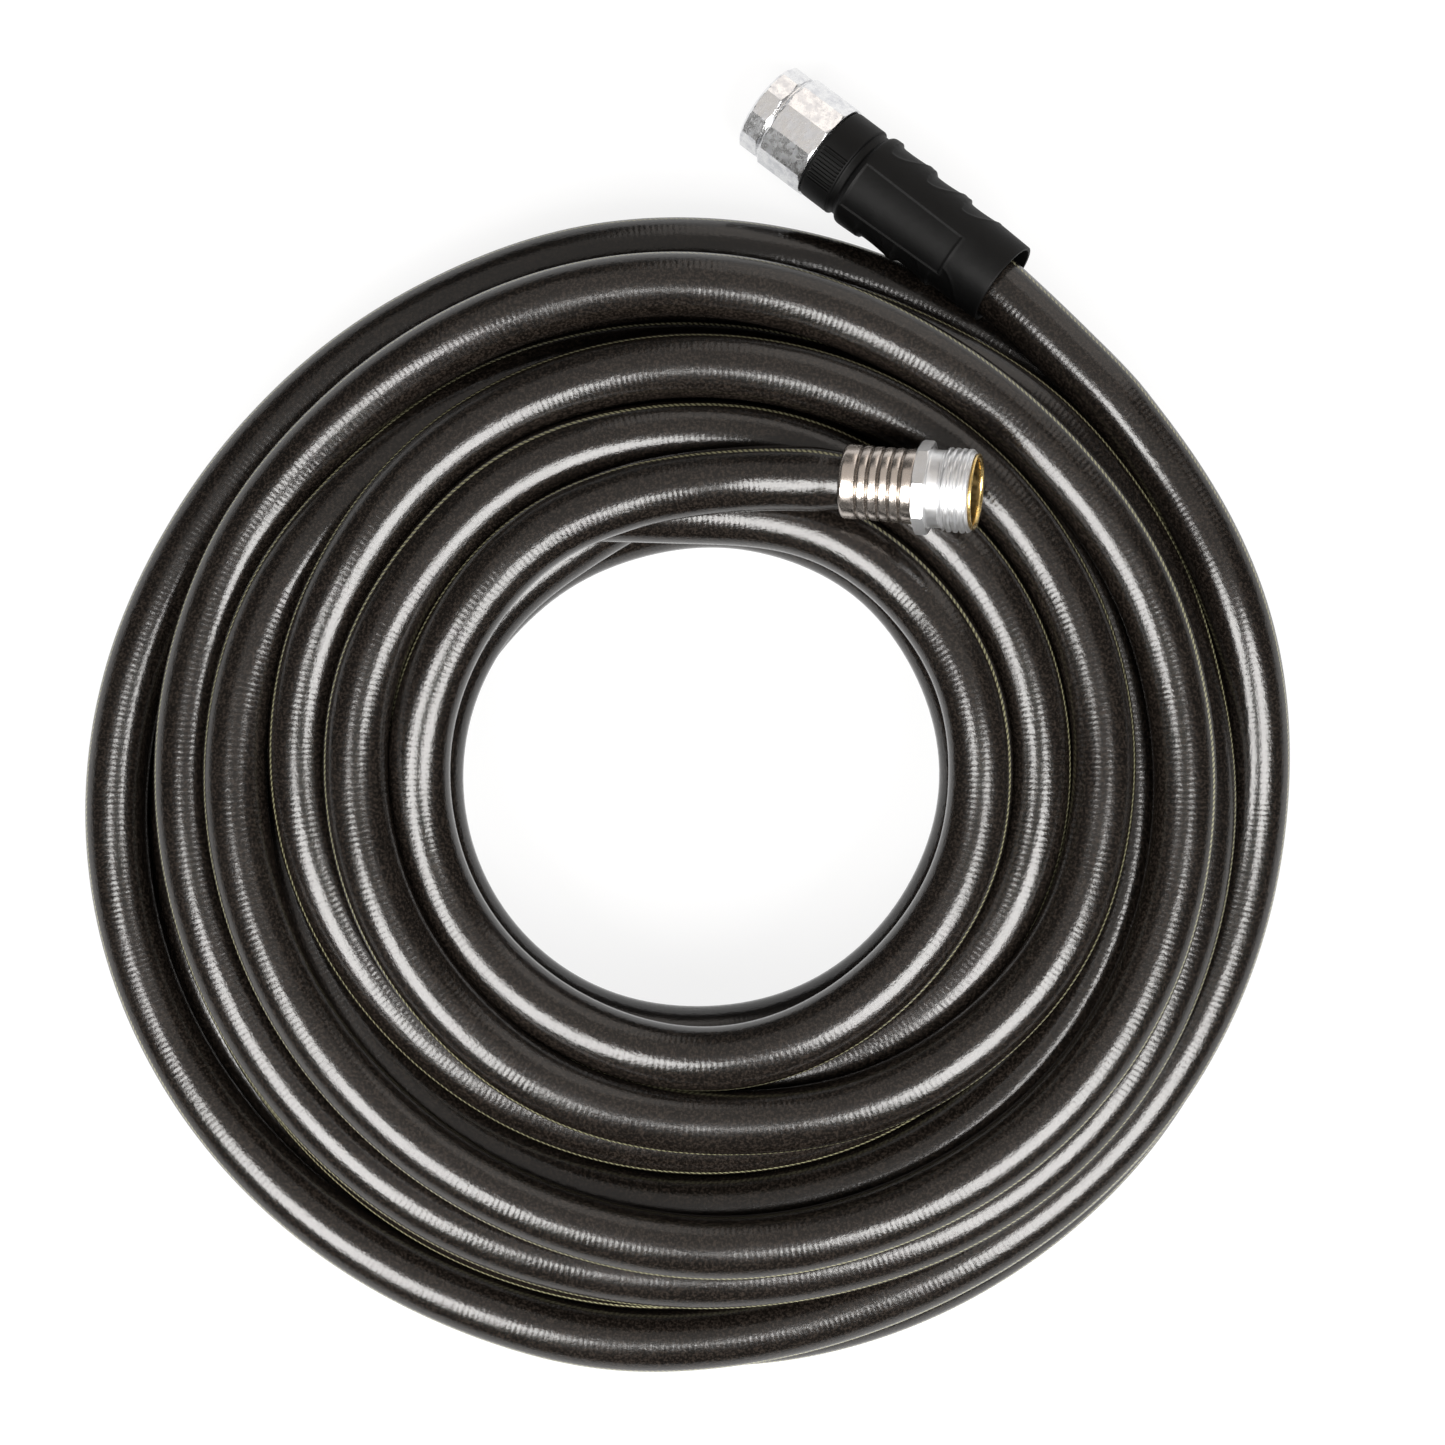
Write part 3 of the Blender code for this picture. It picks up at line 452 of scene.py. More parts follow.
def quad_faces(rows, columns, close_rows):
    """Four corners for each cell of a grid whose columns close round, and its rows too where asked."""
    row = np.arange(rows if close_rows else rows - 1)[:, None]
    column = np.arange(columns)[None, :]
    next_row, next_column = (row + 1) % rows, (column + 1) % columns
    corners = [row * columns + column, row * columns + next_column,
               next_row * columns + next_column, next_row * columns + column]
    return np.stack(corners, -1).reshape(-1, 4)


def cell_corners(across, along):
    """Each cell's four corner places on the piece's map, in metres round and along, unbroken at the seam."""
    grid = (len(along) - 1, len(across) - 1)
    left, right = across[:-1][None, :], across[1:][None, :]
    near, far = along[:-1][:, None], along[1:][:, None]
    corners = [(left, near), (right, near), (right, far), (left, far)]
    places = [np.stack([np.broadcast_to(u, grid), np.broadcast_to(v, grid)], -1) for u, v in corners]
    return np.stack(places, 2).reshape(-1, 4, 2)


def placed(name, data):
    """A new object in the scene, at the origin."""
    thing = bpy.data.objects.new(name, data)
    bpy.context.scene.collection.objects.link(thing)
    return thing


def solid(name, points, across, along, close_rows, crease):
    """A closed mesh from a grid of points; the faces are turned round where they would enclose less than
    nothing. Open rows are closed by a cap at each end."""
    rows, columns = points.shape[:2]
    corners = points.reshape(-1, 3)
    faces = quad_faces(rows, columns, close_rows)
    places = cell_corners(across, along)
    a, b, c, d = (corners[faces[:, k]] for k in range(4))
    volume = (np.cross(a, b) * c).sum() + (np.cross(a, c) * d).sum()
    if volume < 0:
        faces, places = faces[:, ::-1], places[:, ::-1]
    caps = []
    if not close_rows:
        first, last = list(range(columns)), list(range((rows - 1) * columns, rows * columns))
        caps = [first[::-1], last] if volume > 0 else [first, last[::-1]]
    mesh = bpy.data.meshes.new(name)
    mesh.from_pydata(corners.tolist(), [], faces.tolist() + caps)
    flat = np.zeros((len(mesh.loops), 2))
    flat[:4 * len(faces)] = places.reshape(-1, 2)
    mesh.uv_layers.new(name="Wrap").data.foreach_set("uv", flat.ravel())
    mesh.shade_smooth()
    mesh.set_sharp_from_angle(angle=math.radians(crease))
    mesh.validate()
    return placed(name, mesh)


def traced(outline, spacing):
    """A turned piece's outline, (distance back, radius, rounding) in millimetres, as fine points in metres.

    A corner C between points A and B that lie a rounding's length before and after it becomes the parabola
    (1 - t)(1 - t)A + 2t(1 - t)C + ttB; the straights are then cut to the spacing."""
    corners = np.array(outline)
    spots, rounding = corners[:, :2] * MM, np.maximum(corners[:, 2], LEAST_ROUNDING) * MM
    ends = []
    for neighbour in (1, -1):
        straight = np.roll(spots, neighbour, 0) - spots
        length = np.linalg.norm(straight, axis=1)
        used = np.minimum(rounding, length * MOST_ROUNDING)
        ends.append((spots + straight / length[:, None] * used[:, None])[:, None])
    t = np.linspace(0.0, 1.0, ROUNDING_POINTS)[None, :, None]
    loop = (1 - t) ** 2 * ends[0] + 2 * t * (1 - t) * spots[:, None] + t * t * ends[1]
    loop = loop.reshape(-1, 2)
    following = np.roll(loop, -1, 0)
    cuts = np.ceil(np.linalg.norm(following - loop, axis=1) / spacing).astype(int)
    runs = zip(loop, following, cuts)
    return np.concatenate([a + (b - a) * np.arange(count)[:, None] / count for a, b, count in runs])


def turned(name, axis, profile, angles, radius=None, crease=32.0):
    """A closed profile of distances and radii carried round an axis. Where a radius grid is given it stands
    for the profile's own radii, row by row along the profile and column by column round the axis."""
    distance = np.broadcast_to(profile[:, :1], (len(profile), len(angles)))
    if radius is None:
        radius = np.broadcast_to(profile[:, 1:], distance.shape)
    points = axis.round(distance, radius, np.broadcast_to(angles[None, :], distance.shape))
    across = np.append(angles, angles[0] + 2 * math.pi) * profile[:, 1].max()
    return solid(name, points, across, lengths_along(np.vstack([profile, profile[:1]])), True, crease)


def ring_angles(count, turn=0.0):
    """Even angles all round, from a turn on."""
    return turn + np.arange(count) * 2 * math.pi / count


def bar_angles(count, sides, corner, offsets):
    """Even angles all round, and more of them beside each corner of a bar with so many sides."""
    beside = [ring_angles(sides, corner + offset) for offset in offsets]
    return np.sort(np.concatenate([ring_angles(count), *beside]) % (2 * math.pi))


def many_sided(angles, sides, turn, flat):
    """Radius of a flat-sided bar: the flats' radius over the cosine of the angle from a flat's middle."""
    sector = 2 * math.pi / sides
    return flat / np.cos((angles - turn + sector / 2) % sector - sector / 2)


def bump(value, width):
    """exp(-(value / width) squared)."""
    return np.exp(-(value / width) ** 2)


def step(value, low, high):
    """0 below the low end, 1 above the high one, and 3tt - 2ttt between them."""
    t = np.clip((value - low) / (high - low), 0.0, 1.0)
    return t * t * (3 - 2 * t)


def plateau(value, rise, fall):
    """The step over the rise times 1 less the step over the fall."""
    return step(value, *rise) * (1 - step(value, *fall))


def degrees_from(middle, angle):
    """Degrees from a middle, given in degrees, to an angle, brought within half a turn either way."""
    return np.degrees((angle - math.radians(middle) + math.pi) % (2 * math.pi) - math.pi)


def hose_surface(line, diameter):
    """Rings of points along the line: point = line + radius times (side cos angle + upward sin angle), with
    side the line's direction crossed with up, so no ring twists. Returns the grid, round and along."""
    spine = evenly(line, TUBE_STEP)
    ahead = np.gradient(spine, axis=0)
    ahead /= np.linalg.norm(ahead, axis=1)[:, None]
    side = np.cross(ahead, [0.0, 0.0, 1.0])
    side /= np.linalg.norm(side, axis=1)[:, None]
    upward = np.cross(side, ahead)
    angles = ring_angles(TUBE_SIDES)
    across = side[:, None] * np.cos(angles)[None, :, None] + upward[:, None] * np.sin(angles)[None, :, None]
    along = lengths_along(spine)
    to_ferrule = along[-1] - along - (MALE_FERRULE_END - MALE_HOSE_START)
    radius = diameter / 2 * (1 - PINCH * bump(to_ferrule, PINCH_REACH))
    points = spine[:, None] + across * radius[:, None, None]
    points[..., 2] = np.maximum(points[..., 2], 0.0)
    around = np.append(angles, 2 * math.pi) * diameter / 2
    return points, around, along


# The fittings' outlines: distance back, radius and corner rounding, in millimetres
NUT_OUTLINE = [
    (0.0, 13.9, 0.2), (0.0, 15.0, 0.25), (1.3, 16.5, 0.1), (7.1, 16.5, 0.1), (7.7, 15.9, 0.1),
    (7.9, 15.35, 0.2), (8.6, 15.35, 0.2), (8.8, 16.4, 0.1), (10.0, 17.62, 0.1), (26.3, 17.62, 0.1),
    (27.2, 17.1, 0.15), (27.2, 14.2, 0.1), (35.2, 14.2, 0.3), (35.2, 9.5, 0.3), (16.6, 9.5, 0.3),
    (16.6, 14.3, 0.4), (12.6, 14.3, 0.3), (12.0, 13.2, 0.3), (0.9, 13.2, 0.3),
]
STEM_OUTLINE = [
    (13.3, 12.2, 0.4), (16.3, 12.2, 0.4), (16.3, 9.2, 0.3), (36.2, 9.2, 0.2), (36.2, 7.0, 0.2),
    (13.3, 7.0, 0.6),
]
WASHER_OUTLINE = [(10.0, 12.9, 0.5), (13.0, 12.9, 0.5), (13.0, 8.0, 0.4), (10.0, 8.0, 0.4)]
SLEEVE_OUTSIDE = [
    (0.0, 15.2, 0.2), (0.0, 16.3, 0.5), (0.9, 16.6, 0.6), (11.1, 16.6, 0.3), (11.45, 15.55, 0.35),
    (14.1, 15.5, 0.5), (15.2, 17.0, 0.8), (16.6, 17.25, 1.5), (72.6, 14.85, 2.0), (74.5, 14.75, 0.35),
]
SLEEVE_INSIDE = [
    (74.5, 13.5, 0.3), (44.5, 13.5, 1.0), (33.0, 12.6, 1.0), (8.0, 12.6, 0.4), (8.0, 14.5, 0.4),
    (0.0, 14.5, 0.3),
]
COUPLING_OUTLINE = [
    (0.0, 12.35, 0.3), (0.5, 13.0, 0.5), (1.4, 13.5, 0.3), (9.3, 13.5, 0.3), (9.9, 12.4, 0.3),
    (13.5, 12.4, 0.2), (13.9, 12.9, 0.15), (13.9, 14.75, 0.2), (14.35, 15.15, 0.1), (17.45, 15.15, 0.1),
    (17.9, 14.75, 0.2), (17.9, 9.0, 0.2), (14.0, 9.0, 0.5), (11.0, 11.8, 0.5), (0.0, 11.8, 0.2),
]
LINER_OUTLINE = [
    (-1.0, 11.9, 0.3), (-0.75, 12.2, 0.2), (-0.3, 12.2, 0.15), (-0.3, 11.5, 0.1), (11.0, 11.5, 0.5),
    (14.0, 8.7, 0.5), (17.9, 8.7, 0.1), (17.9, 7.8, 0.1), (14.0, 7.8, 0.5), (11.0, 10.6, 0.5),
    (-0.2, 10.6, 0.5), (-0.9, 11.1, 0.4),
]
FERRULE_OUTLINE = [
    (18.2, 11.55, 0.3), (18.5, 12.0, 0.4), (41.4, 12.0, 0.7), (42.2, 11.2, 0.5), (42.2, 10.8, 0.1),
    (18.2, 10.8, 0.1),
]
# Where along the liner's outline its bore starts and ends, and how gently the darker brown laid on it does
LINER_BORE = (22.0 * MM, 39.5 * MM)
BORE_FADES = (4 * MM, 1 * MM)
PLAIN_SIDES, ROUND_SIDES = 72, 96

# Nut: its corners' half width as an angle, its socket, and the thread ridge in it
NUT_CORNER = 0.012
SOCKET_RADIUS, SOCKET_DEPTH, SOCKET_BAND = 13.2 * MM, 12.0 * MM, 0.05 * MM
INNER_THREAD = (1.0 * MM, 2.2 * MM), (10.8 * MM, 11.9 * MM)
INNER_THREAD_DEPTH, INNER_THREAD_WAVE = 0.9 * MM, (-0.6, 0.7)

# Threaded end: the collar's corners and where it is, the thread's root, ridge and run-out
COLLAR_CORNER, COLLAR_RADIUS = 0.008, 15.15 * MM
COLLAR_FROM, COLLAR_OVER = 13.7 * MM, 12.6 * MM
THREAD_ROOT, THREAD_HEIGHT, THREAD_OVER = 12.3 * MM, 1.2 * MM, 12.36 * MM
THREAD_WAVE, THREAD_FADES, THREAD_LOSS = (0.08, 0.72), 8.4 * MM, 0.9

# Crimped ferrule, in millimetres: its grooves, their depth and width, the ribs' doming, and the eight jaws
FERRULE_GROOVES = [22.5, 26.0, 29.5, 33.0, 36.5]
GROOVE_DEPTH, GROOVE_WIDTH = 0.72, 0.36
DOME_DEPTH, DOME_WIDTH = 0.14, 1.25
JAWS, JAW_DEPTH, JAW_MIDDLE, JAW_REACH = 8, 0.035, 29.2, 8.0
FERRULE_OVER = 11.0 * MM

# Grip sleeve: how closely it is cut, and where its outline is its outside
SLEEVE_SPACING, BORE_RADIUS, BORE_ROWS = 0.42 * MM, 13.55 * MM, 5
SLEEVE_ANGLES = [(-11.0, 54.0, 0.55), (180.0, 232.0, 0.55), (54.0, 180.0, 1.8), (232.0, 349.0, 1.8)]
OUTSIDE_SPAN = (0.5 * MM, 73.9 * MM)
OUTSIDE_OVER = [0.0, 8.2 * MM, 75.0 * MM], [15.0 * MM, 15.0 * MM, 14.2 * MM]
# Its details, in millimetres back from its front and degrees from straight up towards the coil
KNURL_MIDDLES, KNURL_HALF, KNURL_PITCH = (26.0, 206.0), 23.0, 4.6
KNURL_SPAN = (0.9, 1.5), (10.2, 10.9)
KNURL_DEPTH, KNURL_WAVE = 0.55, (-0.35, 0.55)
PANEL_SPAN, PANEL_MIDDLE, PANEL_HALF = (15.8, 57.5), 21.0, 29.5
PANEL_RADIUS, PANEL_TAPER, PANEL_FROM, PANEL_RUN = 17.2, 2.4, 16.0, 58.5
PANEL_STARTS, PANEL_SETBACK = 15.6, 0.6
RIDGE_HEIGHT, RIDGE_WIDTH = 0.22, 0.34
SINK_DEPTH, SINK_EDGE, SCOOP_EDGE = 0.2, (0.25, 0.8), (-0.8, 0.0)
# Its finger scoops: where each starts, and its depth, on the side away from the coil and on the coil's
SCOOPS = {
    -90.0: [(20.4, 1.0), (35.6, 1.25), (50.8, 1.05)],
    90.0: [(26.4, 1.1), (41.2, 1.2), (55.8, 0.8)],
}
SCOOP_REACH, SCOOP_HALF = (2.2, 10.5), 52.0
SCOOP_RUN, SCOOP_EASE = 11.5, 0.35
LIP_HEIGHT, LIP_PLACE, LIP_WIDTH = 0.12, 1.02, 0.05


def sleeve_relief(distance, angle):
    """How far the sleeve's outside stands above its plain outline, in millimetres.

    Knurl: cosine ribs. Panel: a ridge exp(-(d/w)(d/w)) along the panel's border and a sunk floor inside it,
    with d the distance from the border. Scoops: depth times the root of 1 - q, with q the squared distance
    from the scoop's middle over its reach, short towards the nut and long towards the mouth."""
    relief = np.zeros(np.broadcast_shapes(distance.shape, angle.shape))
    for middle in KNURL_MIDDLES:
        off = degrees_from(middle, angle)
        inside = (np.abs(off) < KNURL_HALF) * plateau(distance, *KNURL_SPAN)
        relief -= KNURL_DEPTH * inside * step(np.cos(off * 2 * math.pi / KNURL_PITCH), *KNURL_WAVE)
    radius = PANEL_RADIUS - PANEL_TAPER * (distance - PANEL_FROM) / PANEL_RUN
    round_gap = (PANEL_HALF - np.abs(degrees_from(PANEL_MIDDLE, angle))) * math.pi / 180 * radius
    end_gap = np.minimum(distance - PANEL_SPAN[0] - PANEL_SETBACK, PANEL_SPAN[1] - distance)
    inset = np.minimum(round_gap, end_gap)
    border = RIDGE_HEIGHT * bump(inset, RIDGE_WIDTH) - SINK_DEPTH * step(inset, *SINK_EDGE)
    relief += (distance > PANEL_STARTS) * border
    keep = 1 - step(inset, *SCOOP_EDGE)
    for side, scoops in SCOOPS.items():
        off = degrees_from(side, angle)
        for start, depth in scoops:
            before = distance < start
            q = ((distance - start) / np.where(before, *SCOOP_REACH)) ** 2 + (off / SCOOP_HALF) ** 2
            ease = np.where(before, 1.0, 1 - step(distance, start, start + SCOOP_RUN) * SCOOP_EASE)
            relief -= depth * (np.sqrt(np.clip(1 - q, 0, 1)) * ease) * keep
            relief += LIP_HEIGHT * bump(np.sqrt(q) - LIP_PLACE, LIP_WIDTH) * keep
    return relief


def grip_sleeve():
    """The sleeve's outside with its relief, then its inside, as one closed profile carried round the axis.
    The bore is plain, so it keeps only one row in five. The angles are close together where the knurls and
    the panel's edges are."""
    profile = traced(SLEEVE_OUTSIDE + SLEEVE_INSIDE, SLEEVE_SPACING)
    profile = profile[(profile[:, 1] >= BORE_RADIUS) | (np.arange(len(profile)) % BORE_ROWS == 0)]
    distance, plain = profile.T
    outside = (distance > OUTSIDE_SPAN[0]) & (distance < OUTSIDE_SPAN[1])
    outside &= plain > np.interp(distance, *OUTSIDE_OVER)
    angles = np.sort(np.radians(np.concatenate([np.arange(*span) for span in SLEEVE_ANGLES])))
    relief = sleeve_relief(profile[:, :1] / MM, angles[None, :]) * MM
    radius = profile[:, 1:] + np.where(outside[:, None], relief, 0.0)
    return turned("grip_sleeve_moulded", SWIVEL, profile + [SLEEVE_START, 0.0], angles, radius, crease=38.0)


def coupling_nut():
    """The smaller of a twelve-sided bar and a turned outline; inside, a thread ridge that winds round:
    radius = outline + depth times a rounded wave of (distance / pitch - angle / full turn)."""
    profile = traced(NUT_OUTLINE, 0.5 * MM)
    distance, plain = profile[:, :1], profile[:, 1:]
    corner = NUT_TURN + math.pi / NUT_SIDES
    angles = bar_angles(NUT_SIDES * 10, NUT_SIDES, corner, (-NUT_CORNER, 0.0, NUT_CORNER))
    flat = np.where(distance < NOSE_END, NOSE_FLAT, BODY_FLAT)
    radius = np.minimum(plain, many_sided(angles[None, :], NUT_SIDES, NUT_TURN, flat))
    inside = (np.abs(plain - SOCKET_RADIUS) < SOCKET_BAND) & (distance < SOCKET_DEPTH)
    wave = step(np.cos(2 * math.pi * (distance / THREAD_PITCH) - angles[None, :]), *INNER_THREAD_WAVE)
    radius = radius + inside * plateau(distance, *INNER_THREAD) * INNER_THREAD_DEPTH * wave
    return turned("coupling_nut_cast", SWIVEL, profile, angles, radius, crease=24.0)


def male_coupling():
    """An eight-sided collar, a plain neck and a thread that winds round, cut by the turned outline."""
    profile = traced(COUPLING_OUTLINE, 0.22 * MM)
    distance, plain = profile[:, :1], profile[:, 1:]
    angles = bar_angles(COLLAR_SIDES * 14, COLLAR_SIDES, 0.0, (-COLLAR_CORNER, COLLAR_CORNER))
    half_side = math.pi / COLLAR_SIDES
    bar = many_sided(angles[None, :], COLLAR_SIDES, half_side, COLLAR_RADIUS * math.cos(half_side))
    collar = (distance > COLLAR_FROM) & (plain > COLLAR_OVER)
    radius = np.where(collar, np.minimum(plain, bar), plain)
    wave = 0.5 + 0.5 * np.cos(2 * math.pi * distance / THREAD_PITCH + angles[None, :])
    lasting = 1 - step(distance, THREAD_FADES, THREAD_END) * THREAD_LOSS
    ridge = THREAD_ROOT + THREAD_HEIGHT * step(wave, *THREAD_WAVE) * lasting
    threaded = (distance < THREAD_END) & (plain > THREAD_OVER)
    radius = np.where(threaded, np.minimum(radius, ridge), radius)
    return turned("male_coupling_plated", THREADED, profile, angles, radius, crease=40.0)


def male_ferrule():
    """A crimped tube: radius = outline - depth times bumps exp(-(d / w)(d / w)) at the grooves, with wide
    bands left at both ends, slightly domed ribs between the grooves and faint marks of the jaws."""
    profile = traced(FERRULE_OUTLINE, 0.16 * MM)
    angles = ring_angles(ROUND_SIDES)
    distance = profile[:, :1] / MM
    grooves, dome = (
        sum(bump(distance - groove, width) for groove in FERRULE_GROOVES)
        for width in (GROOVE_WIDTH, DOME_WIDTH)
    )
    crimp = JAW_DEPTH * np.cos(JAWS * angles[None, :]) * bump(distance - JAW_MIDDLE, JAW_REACH)
    shown = profile[:, 1:] > FERRULE_OVER
    radius = profile[:, 1:] - shown * (GROOVE_DEPTH * grooves + DOME_DEPTH * dome + crimp) * MM
    return turned("male_ferrule_crimped", THREADED, profile, angles, radius, crease=40.0)


class Number:
    """A number on a shader's socket. Its operators add the Math nodes that work them out."""

    def __init__(self, finish, socket):
        self.finish, self.socket = finish, socket

    def worked(self, operation, *others, clamp=False):
        node = self.finish.node("ShaderNodeMath", {"operation": operation, "use_clamp": clamp},
                                dict(enumerate((self, *others))))
        return Number(self.finish, node.outputs[0])

    def __add__(self, other):
        return self.worked("ADD", other)

    def __sub__(self, other):
        return self.worked("SUBTRACT", other)

    def __rsub__(self, other):
        return (self * -1.0) + other

    def __mul__(self, other):
        return self.worked("MULTIPLY", other)

    def __pow__(self, other):
        return self.worked("POWER", other)

    def __abs__(self):
        return self.worked("ABSOLUTE")

    __radd__, __rmul__ = __add__, __mul__

    def sine(self):
        return self.worked("SINE")

    def between(self, low, high):
        """0 below low and 1 above high, and straight between them."""
        return ((self - low) * (1.0 / (high - low))).worked("ADD", 0.0, clamp=True)


class Finish:
    """One material, its Principled shader and the nodes that feed it. Its place is Object coordinates, in
    metres, and patterns that are told no other place follow it."""

    def __init__(self, name, **constants):
        self.material = bpy.data.materials.new(name)
        self.material.use_nodes = True
        self.tree = self.material.node_tree
        self.tree.nodes.clear()
        self.shader = self.node("ShaderNodeBsdfPrincipled", {}, constants)
        output = self.node("ShaderNodeOutputMaterial")
        self.tree.links.new(self.shader.outputs[0], output.inputs[0])
        self.place = self.node("ShaderNodeTexCoord").outputs["Object"]

    def node(self, kind, settings=None, values=None):
        made = self.tree.nodes.new(kind)
        for key, setting in (settings or {}).items():
            setattr(made, key, setting)
        for key, value in (values or {}).items():
            self.feed(made.inputs[key], value)
        return made

    def feed(self, socket, value):
        if isinstance(value, Number):
            value = value.socket
        if isinstance(value, bpy.types.NodeSocket):
            self.tree.links.new(value, socket)
        else:
            socket.default_value = value

    def split(self, vector):
        """The first two numbers of a vector."""
        node = self.node("ShaderNodeSeparateXYZ", {}, {0: vector})
        return Number(self, node.outputs[0]), Number(self, node.outputs[1])

    def wrap(self):
        """The piece's own map as two numbers in metres: round it, and along it."""
        return self.split(self.node("ShaderNodeUVMap", {"uv_map": "Wrap"}).outputs[0])

    def joined(self, x, y):
        return self.node("ShaderNodeCombineXYZ", {}, {0: x, 1: y}).outputs[0]

    def noise(self, size, detail=2.0, roughness=0.5, where=None):
        """Noise between 0 and 1 whose lumps are about the size given, in metres."""
        where = self.place if where is None else where
        node = self.node("ShaderNodeTexNoise", {"noise_dimensions": "3D"},
                         {"Vector": where, "Scale": 1.0 / size, "Detail": detail, "Roughness": roughness})
        return Number(self, node.outputs["Fac"])

    def cells(self, size):
        """Distance to the nearest of scattered points that lie about the size apart."""
        values = {"Vector": self.place, "Scale": 1.0 / size}
        return Number(self, self.node("ShaderNodeTexVoronoi", {"feature": "F1"}, values).outputs["Distance"])

    def layered(self, tone, *layers):
        """The tone under layers of other colours, each laid on by its share."""
        for share, colour in layers:
            mix = self.node("ShaderNodeMix", {"data_type": "RGBA"}, {0: share, 6: tone, 7: colour})
            tone = mix.outputs[2]
        return tone

    def relief(self, height):
        """A height in metres becomes the shader's normal."""
        node = self.node("ShaderNodeBump", {}, {"Distance": 1.0, "Height": height})
        self.feed(self.shader.inputs["Normal"], node.outputs[0])

    def show(self, colour, roughness):
        self.feed(self.shader.inputs["Base Color"], colour)
        self.feed(self.shader.inputs["Roughness"], roughness)
        return self.material


def shade(colour, *factors):
    """The colour made darker or lighter, by one factor or by one for each channel."""
    factors = factors if len(factors) == 3 else factors * 3
    return tuple(min(1.0, channel * factor) for channel, factor in zip(colour, factors)) + (1.0,)


def hose_finish(colour, ridge_depth):
    """Satin extruded cover: fine grain, faint cross ridges left by the braid under it, dust and scuffs, and
    a marker thread that wanders a little and is broken up by its twist."""
    finish = Finish("hose_cover", **{"IOR": 1.5, "Specular IOR Level": 0.45})
    around, along = finish.wrap()
    spot = finish.joined(around, along)
    wander = finish.noise(9 * MM, where=spot)
    ridge = (along * (2 * math.pi / RIDGE_PITCH) + around * RIDGE_LEAN + wander * RIDGE_WANDER).sine()
    braid = (along * (2 * math.pi / BRAID_PITCH) - around * BRAID_LEAN).sine()
    patchy = finish.noise(14 * MM, 3.0, where=spot).between(0.36, 0.62)
    grain = finish.noise(0.7 * MM, 2.0, 0.6)
    lumps = finish.noise(1.5 * MM, 1.0, where=finish.joined(around, along * 0.45))
    height = ridge * (patchy * 0.75 + 0.25) * ridge_depth + braid * (ridge_depth * 0.25)
    finish.relief(height + grain * (0.048 * MM) + lumps * (0.06 * MM))
    dust = finish.noise(0.95 * MM, 2.0, 0.75).between(0.46, 0.64)
    cloudy = finish.noise(26 * MM, 3.0).between(0.3, 0.7)
    scuff = finish.noise(4 * MM, 5.0, 0.7, finish.joined(around * 3.0, along * 0.6)).between(0.70, 0.80)
    drift = finish.noise(STRIPE_BEND, 1.0, where=finish.joined(0.0, along)) * STRIPE_DRIFT
    off_stripe = abs(around - (drift + (STRIPE_PLACE - STRIPE_DRIFT / 2)))
    twist = (along * (2 * math.pi / STRIPE_TWIST) + around * STRIPE_LEAN).sine()
    stripe = (1.0 - off_stripe.between(STRIPE_WIDTH * 0.4, STRIPE_WIDTH * 0.6)) * (twist * 0.42 + 0.5)
    tone = finish.layered(
        shade(colour, 0.85), (cloudy, shade(colour, 1.15)), (dust, shade(colour, 5.5)),
        (scuff * 0.35, shade(colour, 8.0)), (stripe, STRIPE_COLOUR),
    )
    return finish.show(tone, cloudy * 0.04 + grain * 0.12 + scuff * 0.12 + stripe * 0.2 + 0.13)


def grip_finish(colour):
    """Matte moulded rubber: fine moulding grain, paler bloom on what stands proud, a few rubbed spots."""
    finish = Finish("grip_moulded", **{"IOR": 1.5, "Specular IOR Level": 0.14})
    grain = finish.noise(0.35 * MM, 3.0, 0.6)
    soft = finish.noise(5 * MM, 3.0)
    finish.relief(grain * (0.05 * MM) + soft * (0.12 * MM))
    bloom = finish.noise(11 * MM, 4.0, 0.6).between(0.35, 0.75)
    specks = finish.cells(1.7 * MM).between(0.10, 0.05)
    edge = Number(finish, finish.node("ShaderNodeNewGeometry").outputs["Pointiness"]).between(0.505, 0.56)
    tone = finish.layered(
        shade(colour, 0.8), (bloom, shade(colour, 1.5)), (edge * 0.5, shade(colour, 4.0)),
        (specks * bloom * 0.5, shade(colour, 7.0)),
    )
    return finish.show(tone, bloom * 0.08 + grain * 0.1 + 0.47)


def plated_finish(name, colour, cast, lines, roughness, grooves=None):
    """Nickel plate: turning lines round the piece, cast pitting and stains by the share given, soft wear.
    Painted shade darkens the grooves, where their first and last place along the outline and spacing are
    given."""
    finish = Finish(name, **{"Metallic": 1.0})
    around, along = finish.wrap()
    turning = finish.noise(lines, 2.0, 0.6, finish.joined(around * 0.02, along))
    pits = finish.noise(0.5 * MM, 3.0, 0.65)
    dents = finish.noise(2.4 * MM, 2.0)
    finish.relief(turning * (0.003 * MM) + pits * (0.012 * MM * cast) + dents * (0.07 * MM * cast))
    stain = finish.noise(3.2 * MM, 4.0, 0.65).between(0.42, 0.68)
    freckle = finish.noise(0.7 * MM, 2.0, 0.7).between(0.60, 0.74)
    layers = [
        (stain * (0.25 + 0.5 * cast), shade(colour, 0.66, 0.67, 0.72)),
        (freckle * (0.15 + 0.35 * cast), shade(colour, 0.42)),
    ]
    if grooves:
        first, last, pitch = grooves
        # Painted shade: a dark line down each groove, fading out just past the first and last groove
        line = abs(((along - first) * (math.pi / pitch)).sine()).between(0.52, 0.2)
        for end, ahead in ((first, -1), (last, 1)):
            limit = end + ahead * pitch / 2
            line = line * along.between(limit, limit - ahead * GROOVE_SHADE_FADE)
        layers.append((line * 0.75, shade(colour, 0.22)))
    tone = finish.layered(colour, *layers)
    return finish.show(tone, stain * 0.10 + turning * 0.08 + freckle * 0.12 + roughness)


